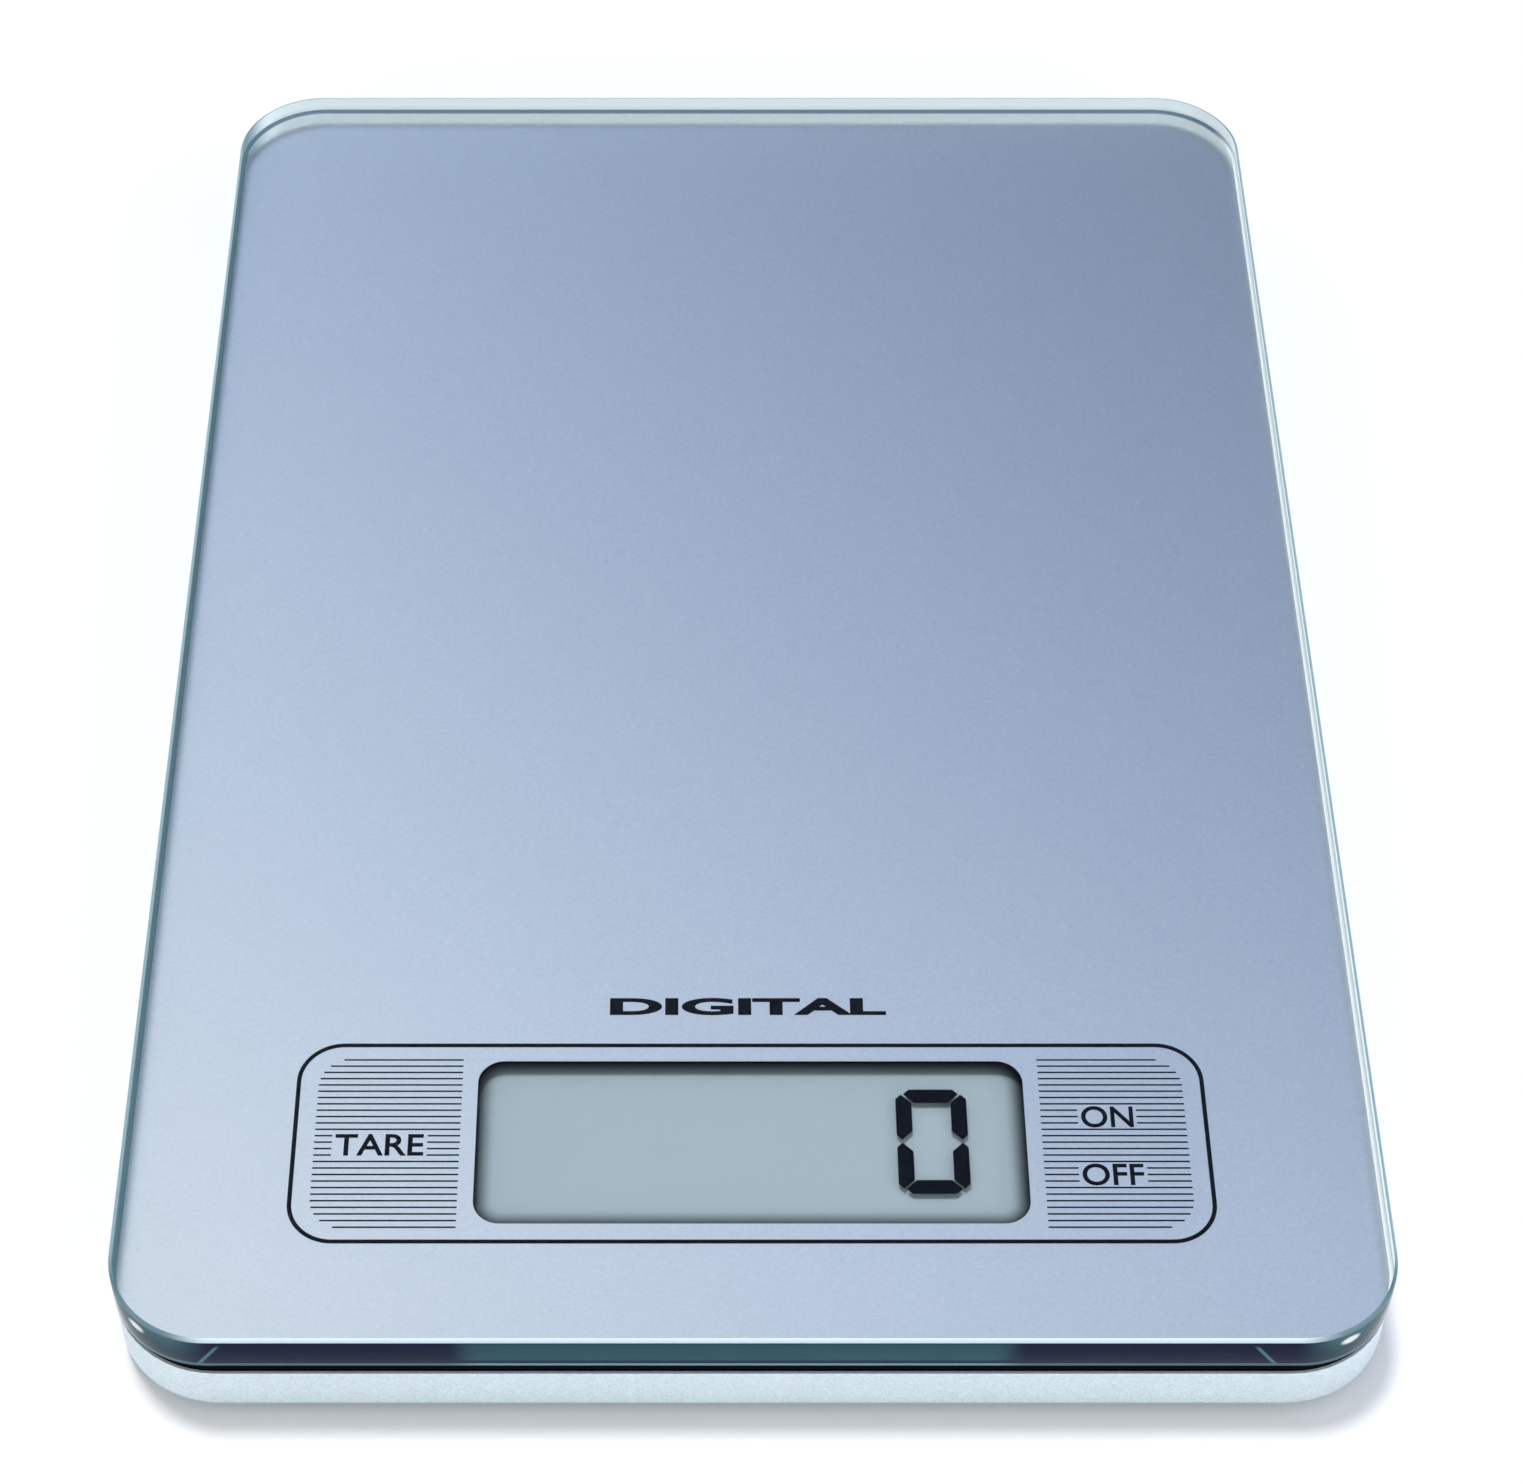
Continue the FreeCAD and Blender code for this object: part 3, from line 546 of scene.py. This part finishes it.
def circuit_board():
    """Green solder mask over copper: tracks, and a woven ground under them."""
    make = new_recipe("circuit_board")
    x, y = make.axes()[:2]
    across_pitch = 0.0012
    along_pitch = 0.0016
    wander = make.noise(0.006, 1.0) * 0.004
    across = (x + wander).fold(across_pitch) / across_pitch
    along = (y + wander).fold(along_pitch) / along_pitch
    lanes = make.noise(0.011, 1.0).ramp(0.47, 0.53)
    track = (across.ramp(0.72, 0.8) * lanes).most(along.ramp(0.74, 0.82) * (1 - lanes))
    weave = make.noise(0.0004, 2.0)
    ground = make.mix(weave, (0.008, 0.085, 0.035), (0.014, 0.12, 0.05))
    tone = make.mix(track, ground, (0.03, 0.24, 0.09))
    mask = make.principled(
        Base_Color=tone, Roughness=0.24 + 0.12 * weave, Normal=make.bump(track, 0.00003, 0.7)
    )
    return make.surface(mask)


def label_stock():
    """Silver-grey polyester label with a faint brushed print."""
    make = new_recipe("label_stock")
    drawn = make.add("ShaderNodeMapping", None, {"Vector": make.place(), "Scale": (0.05, 1.0, 1.0)})
    brush = make.noise(0.0003, 3.0, at=drawn)
    tone = make.mix(brush, (0.55, 0.57, 0.59), (0.68, 0.70, 0.72))
    skin = make.principled(Base_Color=tone, Metallic=0.3, Roughness=0.38 + 0.12 * brush)
    return make.surface(skin)


def floor_paint():
    """Plain pale studio floor with a faint unevenness."""
    make = new_recipe("studio_floor")
    cloud = make.noise(0.4, 3.0)
    tone = make.mix(cloud, (0.925, 0.928, 0.932), (0.935, 0.936, 0.938))
    return make.surface(make.principled(Base_Color=tone, Roughness=0.30 + 0.05 * cloud))


BLACK_WITH_PAINTED_GAP_SHADE = (0.0008, 0.001, 0.005)     # the near-black pieces in the gap between the base and the glass: black plastic, darkened further as painted shade in the gap

FINISHES = {
    "silver_film": lambda colours: film_silver(colours.film),
    "tape": lambda colours: moulded_plastic("tape", BLACK_WITH_PAINTED_GAP_SHADE, 0.6, gloss=0.02),
    "gasket_foam": lambda colours: rubber("gasket_foam", (0.010, 0.011, 0.014)),
    "carrier_plastic": lambda colours: moulded_plastic("carrier_plastic", BLACK_WITH_PAINTED_GAP_SHADE, 0.5, gloss=0.02),
    "base_silver": lambda colours: base_silver(colours.base),
    "coin_steel": lambda colours: metal("coin_steel", (0.66, 0.66, 0.64), 0.26),
    "contact_metal": lambda colours: metal("contact_metal", (0.72, 0.68, 0.58), 0.2, "Y"),
    "wire_insulation": lambda colours: moulded_plastic("wire_insulation", (0.32, 0.012, 0.010), 0.35),
    "lcd_glass": lambda colours: display_cover(),
    "zebra_rubber": lambda colours: striped_rubber(),
    "conductive_foam": lambda colours: rubber("conductive_foam", (0.05, 0.05, 0.055), 0.0003),
    "circuit_board": lambda colours: circuit_board(),
    "chip_epoxy": lambda colours: moulded_plastic("chip_epoxy", (0.004, 0.004, 0.005), 0.22, 0.002),
    "component_body": lambda colours: moulded_plastic("component_body", (0.03, 0.03, 0.033), 0.5),
    "spring_steel": lambda colours: metal("spring_steel", (0.62, 0.61, 0.58), 0.22),
    "switch_body": lambda colours: moulded_plastic("switch_body", (0.03, 0.03, 0.034), 0.42),
    "switch_plunger": lambda colours: moulded_plastic("switch_plunger", (0.42, 0.03, 0.02), 0.4),
    "button_plastic": lambda colours: moulded_plastic("button_plastic", (0.045, 0.05, 0.055), 0.42),
    "screw_steel": lambda colours: metal("screw_steel", (0.5, 0.5, 0.51), 0.3),
    "label_stock": lambda colours: label_stock(),
    "cell_steel": lambda colours: metal("cell_steel", (0.5, 0.51, 0.52), 0.3, "Y"),
    "potting_silicone": lambda colours: rubber("potting_silicone", (0.7, 0.7, 0.66), 0.0008),
    "holder_plastic": lambda colours: moulded_plastic("holder_plastic", (0.68, 0.68, 0.65), 0.45),
    "foot_plastic": lambda colours: moulded_plastic("foot_plastic", (0.012, 0.012, 0.014), 0.45),
    "foot_rubber": lambda colours: rubber("foot_rubber", (0.014, 0.014, 0.015)),
}


# --- shaping helpers -------------------------------------------------------------------------------
def bevel(mesh, edges, width, steps):
    return bmesh.ops.bevel(
        mesh, geom=edges, offset=width, offset_type="OFFSET", segments=steps, profile=0.5,
        affect="EDGES", clamp_overlap=False, material=-1,
    )


def is_upright(edge):
    first, second = edge.verts
    return (first.co - second.co).xy.length < 1e-7


def box_into(mesh, low, high):
    """A block between two corners, added to a bmesh."""
    size = Vector(high) - Vector(low)
    middle = (Vector(high) + Vector(low)) / 2
    place = Matrix.Translation(middle) @ Matrix.Diagonal((*size, 1.0))
    return bmesh.ops.create_cube(mesh, size=1.0, matrix=place)["verts"]


def rounded_block(mesh, low, high, corner, steps):
    """A block with its four upright corners rounded, added to a bmesh."""
    verts = box_into(mesh, low, high)
    own_edges = dict.fromkeys(edge for vert in verts for edge in vert.link_edges)
    bevel(mesh, [edge for edge in own_edges if is_upright(edge)], corner, steps)


def round_rims(mesh, z, width, steps):
    """Round or bevel every edge that lies at one height."""
    rims = [edge for edge in mesh.edges if all(abs(vert.co.z - z) < 1e-7 for vert in edge.verts)]
    return bevel(mesh, rims, width, steps)


def raise_faces(mesh, faces, height):
    """Extrudes flat faces upward."""
    raised = bmesh.ops.extrude_face_region(mesh, geom=faces)
    lifted = [item for item in raised["geom"] if isinstance(item, bmesh.types.BMVert)]
    bmesh.ops.translate(mesh, verts=lifted, vec=(0, 0, height))


def add_piece(name, mesh, body, materials):
    """Turns a bmesh into a piece that rides on a body, with its finish."""
    bmesh.ops.remove_doubles(mesh, verts=mesh.verts, dist=1e-8)
    bmesh.ops.recalc_face_normals(mesh, faces=mesh.faces)
    data = bpy.data.meshes.new(name)
    mesh.to_mesh(data)
    mesh.free()
    piece = bpy.data.objects.new(name, data)
    bpy.context.scene.collection.objects.link(piece)
    for material in materials:
        data.materials.append(material)
    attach(piece, body)
    return piece


def letters_into(mesh, words, left, right, front, rear, bottom, top, heavier=0.0, facing_down=False):
    """Raised lettering added to a bmesh, fitted to a box in plan; facing_down is to be read from below."""
    curve = bpy.data.curves.new("lettering", "FONT")
    curve.body = words
    curve.resolution_u = 6
    curve.offset = heavier
    holder = bpy.data.objects.new("lettering", curve)
    bpy.context.scene.collection.objects.link(holder)
    bpy.context.view_layer.update()
    flat = bpy.data.meshes.new_from_object(holder)
    bpy.data.objects.remove(holder)
    bpy.data.curves.remove(curve)
    glyphs = bmesh.new()
    glyphs.from_mesh(flat)
    bpy.data.meshes.remove(flat)
    bmesh.ops.remove_doubles(glyphs, verts=glyphs.verts, dist=1e-6)
    xs = [vert.co.x for vert in glyphs.verts]
    ys = [vert.co.y for vert in glyphs.verts]
    scale_x = (right - left) / (max(xs) - min(xs))
    scale_y = (rear - front) / (max(ys) - min(ys))
    hand = -1 if facing_down else 1
    start = right if facing_down else left
    for vert in glyphs.verts:
        x = start + hand * (vert.co.x - min(xs)) * scale_x
        vert.co = Vector((x, front + (vert.co.y - min(ys)) * scale_y, bottom))
    raise_faces(glyphs, glyphs.faces[:], top - bottom)
    solid = bpy.data.meshes.new("lettering")
    glyphs.to_mesh(solid)
    glyphs.free()
    mesh.from_mesh(solid)
    bpy.data.meshes.remove(solid)


# --- pieces ----------------------------------------------------------------------------------------
class SCALE_OT_finishes(Operator):
    """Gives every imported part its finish, from the material slot it already has"""
    bl_idname = "scale.finishes"
    bl_label = "Part finishes"

    def execute(self, context):
        colours = context.scene.scale_colours
        made = {}
        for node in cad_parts.values():
            for place in node.material_slots:
                slot = place.material.name.split(".")[0]
                if slot in FINISHES:
                    made[slot] = made.get(slot) or FINISHES[slot](colours)
                    place.material = made[slot]
        field = display_field(colours.reflector, context.scene.scale_display)
        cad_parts["lcd_reflector"].material_slots[0].material = field
        return {"FINISHED"}


class SCALE_OT_glass(Operator):
    """Makes the glass plate with rounded corners and ground bevels"""
    bl_idname = "scale.glass"
    bl_label = "Glass plate"

    def execute(self, context):
        sizes = context.scene.scale_glass
        mesh = bmesh.new()
        rounded_block(mesh, glass_low, glass_high, sizes.corner, sizes.corner_steps)
        ground = []
        for z, width in ((glass_low.z, sizes.low_arris), (glass_high.z, sizes.arris)):
            ground += round_rims(mesh, z, width, sizes.arris_steps)["faces"]
        mesh.normal_update()
        for face in ground:
            face.material_index = 1
        for face in mesh.faces:
            face.smooth = abs(face.normal.z) < 0.999
            if abs(face.normal.z) < 0.01:
                face.material_index = 2
        materials = [clear_glass(), ground_arris(sizes), glass_edge(context.scene.scale_colours.edge, sizes)]
        plate = add_piece("glass_plate", mesh, "housing", materials)
        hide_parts("glass_platform")
        return {"FINISHED"}


class SCALE_OT_printing(Operator):
    """Prints the outline, the hatched key fields and the words on the film"""
    bl_idname = "scale.printing"
    bl_label = "Printing"

    def execute(self, context):
        sizes = context.scene.scale_print
        low = film_top + sizes.ink_gap
        high = low + sizes.ink
        ink = printed_ink("printed_ink", context.scene.scale_colours.ink)
        self.outline(sizes, low, high, ink)
        words = self.word_boxes(sizes)
        self.hatching(sizes, low, high, ink, [box for *_, box in words])
        mesh = bmesh.new()
        for text, weight, box in words:
            letters_into(mesh, text, *box, low, high, weight)
        add_piece("print_words", mesh, "housing", [ink])
        return {"FINISHED"}

    def word_boxes(self, sizes):
        """Each printed word and its weight, with its box in plan: left, right, front and rear edge."""
        y = display_middle.y
        fine = 0.014
        bold = 0.040
        return [
            (sizes.tare, fine, (-0.0516, -0.0406, y - 0.0022, y + 0.0010)),
            (sizes.power_on, fine, (0.0412, 0.0477, y + 0.0020, y + 0.0052)),
            (sizes.power_off, fine, (0.0408, 0.0484, y - 0.0066, y - 0.0034)),
            (sizes.kind, bold, (-0.0178, 0.0174, y + 0.0193, y + 0.0220)),
        ]

    def outline(self, sizes, low, high, ink):
        """A rounded line round the window and both keys: an outer block with its middle inset and removed."""
        mesh = bmesh.new()
        middle_y = display_middle.y - sizes.outline_ahead
        half_line = sizes.outline_line / 2
        half_width = sizes.outline_width / 2 + half_line
        half_depth = sizes.outline_depth / 2 + half_line
        corner_steps = 14
        rounded_block(
            mesh, (-half_width, middle_y - half_depth, low), (half_width, middle_y + half_depth, high),
            sizes.outline_corner + half_line, corner_steps,
        )
        flat = [face for face in mesh.faces if abs(face.normal.z) > 0.9]
        bmesh.ops.inset_individual(mesh, faces=flat, thickness=sizes.outline_line, use_even_offset=True)
        rims = [edge for face in flat for edge in face.edges]
        bmesh.ops.delete(mesh, geom=flat, context="FACES_ONLY")
        bmesh.ops.bridge_loops(mesh, edges=rims)
        add_piece("print_outline", mesh, "housing", [ink])

    def hatching(self, sizes, low, high, ink, word_boxes):
        """Fine lines on each key, shorter at the rounded outer corners and broken round the words."""
        mesh = bmesh.new()
        gap = sizes.letter_gap
        middle_y = display_middle.y - sizes.outline_ahead - sizes.hatch_ahead
        reach = (sizes.hatch_rows - 1) / 2 * sizes.hatch_pitch
        for side in (-1, 1):
            for row in range(sizes.hatch_rows):
                y = middle_y - reach + row * sizes.hatch_pitch
                past = max(0.0, abs(y - middle_y) - (reach + sizes.hatch_line - sizes.hatch_corner))
                round_off = sizes.hatch_corner - math.sqrt(max(0.0, sizes.hatch_corner ** 2 - past ** 2))
                inner, outer = side * sizes.hatch_inner, side * (sizes.hatch_outer - round_off)
                spans = [(min(inner, outer), max(inner, outer))]
                for left, right, front, rear in word_boxes:
                    if front - gap / 2 < y < rear + gap / 2 and spans[0][0] < left < spans[0][1]:
                        spans = [(spans[0][0], left - gap), (right + gap, spans[0][1])]
                for start, end in spans:
                    half = sizes.hatch_line / 2
                    box_into(mesh, (start, y - half, low), (end, y + half, high))
        add_piece("print_hatching", mesh, "housing", [ink])


class SCALE_OT_display(Operator):
    """Makes the dark digit of the display from mitred bars"""
    bl_idname = "scale.display"
    bl_label = "Display digit"

    def execute(self, context):
        sizes = context.scene.scale_display
        mesh = bmesh.new()
        low = display_low.z + sizes.digit_rise
        middle = Vector((sizes.digit_x, display_middle.y - sizes.digit_ahead, low))
        for end in (-1, 1):
            self.bar(mesh, middle, sizes, lambda along, inward: (along, end * inward), True)
            for side in (-1, 1):
                self.bar(mesh, middle, sizes, lambda along, inward: (side * inward, end * along), False)
        add_piece("display_digit", mesh, "housing", [display_ink()])
        return {"FINISHED"}

    def bar(self, mesh, middle, sizes, turn, level):
        """One bar of a digit. along runs on the bar and inward is measured from the digit's middle."""
        thick = sizes.segment
        tip = thick * 0.35
        outer = (sizes.digit_height if level else sizes.digit_width) / 2
        half_run = (sizes.digit_width if level else sizes.digit_height) / 2
        mitre = thick - tip
        if level:
            start, end = -half_run + tip + sizes.segment_gap, half_run - tip - sizes.segment_gap
        else:
            start, end = sizes.segment_gap * 0.8, half_run - tip - sizes.segment_gap * 0.2
        corners = [
            (start + tip, outer), (start, outer - tip), (start + mitre, outer - thick),
            (end - mitre, outer - thick), (end, outer - tip), (end - tip, outer),
        ]
        points = []
        for along, inward in corners:
            x, y = turn(along, inward)
            points.append(mesh.verts.new(middle + Vector((x, y, 0))))
        raise_faces(mesh, [mesh.faces.new(points)], sizes.digit_thickness)


class SCALE_OT_foot_pads(Operator):
    """Makes the four rubber foot pads with a rounded rim and ring grooves"""
    bl_idname = "scale.foot_pads"
    bl_label = "Foot pads"

    def execute(self, context):
        pad_rubber = FINISHES["foot_rubber"](context.scene.scale_colours)
        for corner in CORNERS:
            low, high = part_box("foot_pad_" + corner)
            middle = (low + high) / 2
            radius = (high.x - low.x) / 2
            mesh = bmesh.new()
            line = [(0.0, high.z), (radius, high.z), *self.rim(radius, low.z)]
            for outer, inner in ((0.74, 0.58), (0.42, 0.26)):
                line += self.groove(outer * radius, inner * radius, 0.04 * radius, low.z)
            line.append((0.0, low.z))
            verts = [mesh.verts.new((middle.x + r, middle.y, z)) for r, z in line]
            edges = [mesh.edges.new(pair) for pair in zip(verts, verts[1:])]
            bmesh.ops.spin(
                mesh, geom=verts + edges, cent=(middle.x, middle.y, 0), axis=(0, 0, 1), angle=2 * math.pi,
                steps=64, use_merge=True,
            )
            for face in mesh.faces:
                face.smooth = False
            pad = add_piece("rubber_pad_" + corner, mesh, "foot_body_" + corner, [pad_rubber])
            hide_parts("foot_pad_" + corner)
        return {"FINISHED"}

    def rim(self, radius, bottom):
        """The rounded rim under a pad, as radius and height."""
        side = 0.00035
        step = 0.00010
        return [(radius, bottom + side), (radius - step, bottom + step), (radius - side, bottom)]

    def groove(self, outer, inner, slope, bottom):
        """One ring groove under a pad, from its outer to its inner radius, with sloped walls."""
        top = bottom + 0.00035
        return [(outer, bottom), (outer - slope, top), (inner + slope, top), (inner, bottom)]


class SCALE_OT_door_grip(Operator):
    """Adds the grip ribs to the battery door"""
    bl_idname = "scale.door_grip"
    bl_label = "Battery door grip"

    def execute(self, context):
        shell = moulded_plastic("battery_door_grip", shade(context.scene.scale_colours.base, 0.9), 0.45)
        mesh = bmesh.new()
        top = door_low.z + 0.00002
        bottom = door_low.z - 0.00004
        rib_count = 6
        rib_pitch = 0.0012
        first_rib = 0.0085
        half_length = 0.006
        half_width = 0.0002
        for row in range(rib_count):
            y = door_high.y - first_rib - row * rib_pitch
            box_into(mesh, (-half_length, y - half_width, bottom), (half_length, y + half_width, top))
        add_piece("battery_door_ribs", mesh, "battery_door_body", [shell])
        return {"FINISHED"}


class SCALE_OT_label_print(Operator):
    """Prints generic capacity and supply words on the rating label under the base"""
    bl_idname = "scale.label_print"
    bl_label = "Label printing"

    def execute(self, context):
        ink = printed_ink("label_ink", (0.02, 0.02, 0.024))
        mesh = bmesh.new()
        high = label_low.z + 0.00001
        low = label_low.z - 0.00002
        x = label_middle.x
        rows = [
            # words, half of their width, distance behind the label's middle, height of the letters
            ("DIGITAL KITCHEN SCALE", 0.0190, 0.0080, 0.0020),
            ("MAX 5 kg    d = 1 g", 0.0150, 0.0024, 0.0024),
            ("3 V DC", 0.0060, -0.0032, 0.0020),
        ]
        for words, half_width, behind, height in rows:
            front = label_middle.y + behind - height / 2
            letters_into(
                mesh, words, x - half_width, x + half_width, front, front + height, low, high,
                facing_down=True,
            )
        rule_half_length = 0.020
        rule_width = 0.0002
        for behind in (0.0052, -0.0066):
            y = label_middle.y + behind
            box_into(mesh, (x - rule_half_length, y, low), (x + rule_half_length, y + rule_width, high))
        add_piece("label_words", mesh, "housing", [ink])
        return {"FINISHED"}


class SCALE_OT_studio(Operator):
    """Sets the floor, the soft lights, the pale surroundings and the camera"""
    bl_idname = "scale.studio"
    bl_label = "Studio"

    def execute(self, context):
        scene = context.scene
        sizes = scene.scale_studio
        self.floor(scene, sizes)
        self.surroundings(scene)
        self.lamps(scene)
        self.camera(scene, sizes)
        scene.view_settings.view_transform = "Standard"
        return {"FINISHED"}

    def camera(self, scene, sizes):
        camera = bpy.data.cameras.new("studio_camera")
        camera.lens = sizes.lens
        camera.sensor_width = 36.0
        camera.shift_x = sizes.shift
        camera.clip_start = 0.01
        stand = bpy.data.objects.new("studio_camera", camera)
        stand.location = sizes.camera_place
        stand.rotation_euler = (sizes.tilt, 0.0, 0.0)
        scene.collection.objects.link(stand)
        scene.camera = stand

    def floor(self, scene, sizes):
        """A flat floor just under the feet, so that no face of a foot lies in it."""
        floor_gap = 0.00005
        mesh = bmesh.new()
        bmesh.ops.create_grid(mesh, x_segments=1, y_segments=1, size=sizes.floor / 2)
        data = bpy.data.meshes.new("studio_floor")
        mesh.to_mesh(data)
        mesh.free()
        data.transform(Matrix.Translation((0, 0, -floor_gap)))
        data.materials.append(floor_paint())
        ground = bpy.data.objects.new("studio_floor", data)
        scene.collection.objects.link(ground)

    def surroundings(self, scene):
        """Pale room, darker high up at the back right, which the satin film shows as its soft gradient."""
        scene.world = bpy.data.worlds.new("studio_room")
        make = Recipe(scene.world)
        aim = make.add("ShaderNodeTexCoord", output="Generated")
        toward = Vector((0.53, 0.84, 0.10)).normalized()
        settings = {"operation": "DOT_PRODUCT"}
        facing = make.add("ShaderNodeVectorMath", settings, {0: aim, 1: toward}, output="Value")
        height = make.add("ShaderNodeSeparateXYZ", None, {0: aim}, output="Z")
        far = facing.ramp(0.30, 0.92) * height.ramp(0.08, 0.36)
        level = (0.45 + 0.72 * facing.ramp(0.0, 0.3)) * (1 - far) + 0.05
        tint = make.mix(far, (1.0, 1.0, 1.0), (0.62, 0.93, 1.75))
        seen = make.add("ShaderNodeLightPath", output="Is Camera Ray")
        plain = make.add("ShaderNodeBackground", None, {"Color": (0.97, 0.98, 0.99, 1.0), "Strength": 1.0})
        room = make.add("ShaderNodeBackground", None, {"Color": tint, "Strength": level})
        make.add("ShaderNodeOutputWorld", None, {"Surface": make.blend(seen, room, plain)})

    def lamps(self, scene):
        """A wide soft sun, and a panel on each side in front that faces its corner of the glass."""
        sun = bpy.data.lights.new("soft_sun", "SUN")
        sun.energy = 1.6
        sun.angle = math.radians(9)
        stand = bpy.data.objects.new("soft_sun", sun)
        stand.rotation_euler = (math.radians(-10), math.radians(-6), 0)
        stand.visible_glossy = False
        stand.visible_transmission = False
        scene.collection.objects.link(stand)
        for name, side, energy in (("front_light_left", -1, 0.4), ("front_light_right", 1, 0.9)):
            target = Vector((side * glass_high.x, glass_low.y, glass_high.z))
            self.panel_light(scene, name, Vector((side * 0.55, -0.70, 0.42)), target, energy)

    def panel_light(self, scene, name, place, target, energy):
        """A square area light that faces a point."""
        panel = bpy.data.lights.new(name, "AREA")
        panel.energy = energy
        panel.size = 0.16
        lamp = bpy.data.objects.new(name, panel)
        lamp.location = place
        lamp.rotation_euler = (target - place).to_track_quat("-Z", "Y").to_euler()
        scene.collection.objects.link(lamp)


class SCALE_PT_panel(Panel):
    """Lists what dresses the kitchen scale"""
    bl_idname = "SCALE_PT_panel"
    bl_label = "Kitchen Scale"
    bl_space_type = "VIEW_3D"
    bl_region_type = "UI"
    bl_category = "Kitchen Scale"

    def draw(self, context):
        for operator in PIECE_OPERATORS:
            self.layout.operator(operator.bl_idname)
        for name, group in SETTINGS.items():
            box = self.layout.box()
            for field in group.__annotations__:
                box.prop(getattr(context.scene, name), field)


SETTINGS = {
    "scale_glass": GlassSizes,
    "scale_print": PrintSizes,
    "scale_display": DisplaySizes,
    "scale_colours": FinishColours,
    "scale_studio": StudioSizes,
}
PIECE_OPERATORS = (
    SCALE_OT_studio,
    SCALE_OT_finishes,
    SCALE_OT_glass,
    SCALE_OT_printing,
    SCALE_OT_display,
    SCALE_OT_foot_pads,
    SCALE_OT_door_grip,
    SCALE_OT_label_print,
)
CLASSES = (*SETTINGS.values(), *PIECE_OPERATORS, SCALE_PT_panel)


def register():
    for each in CLASSES:
        bpy.utils.register_class(each)
    for name, group in SETTINGS.items():
        setattr(bpy.types.Scene, name, PointerProperty(type=group))


def unregister():
    for name in SETTINGS:
        delattr(bpy.types.Scene, name)
    for each in reversed(CLASSES):
        bpy.utils.unregister_class(each)


def main():
    register()
    for operator in PIECE_OPERATORS:
        group, action = operator.bl_idname.split(".")
        getattr(getattr(bpy.ops, group), action)()


if __name__ == "__main__":
    main()
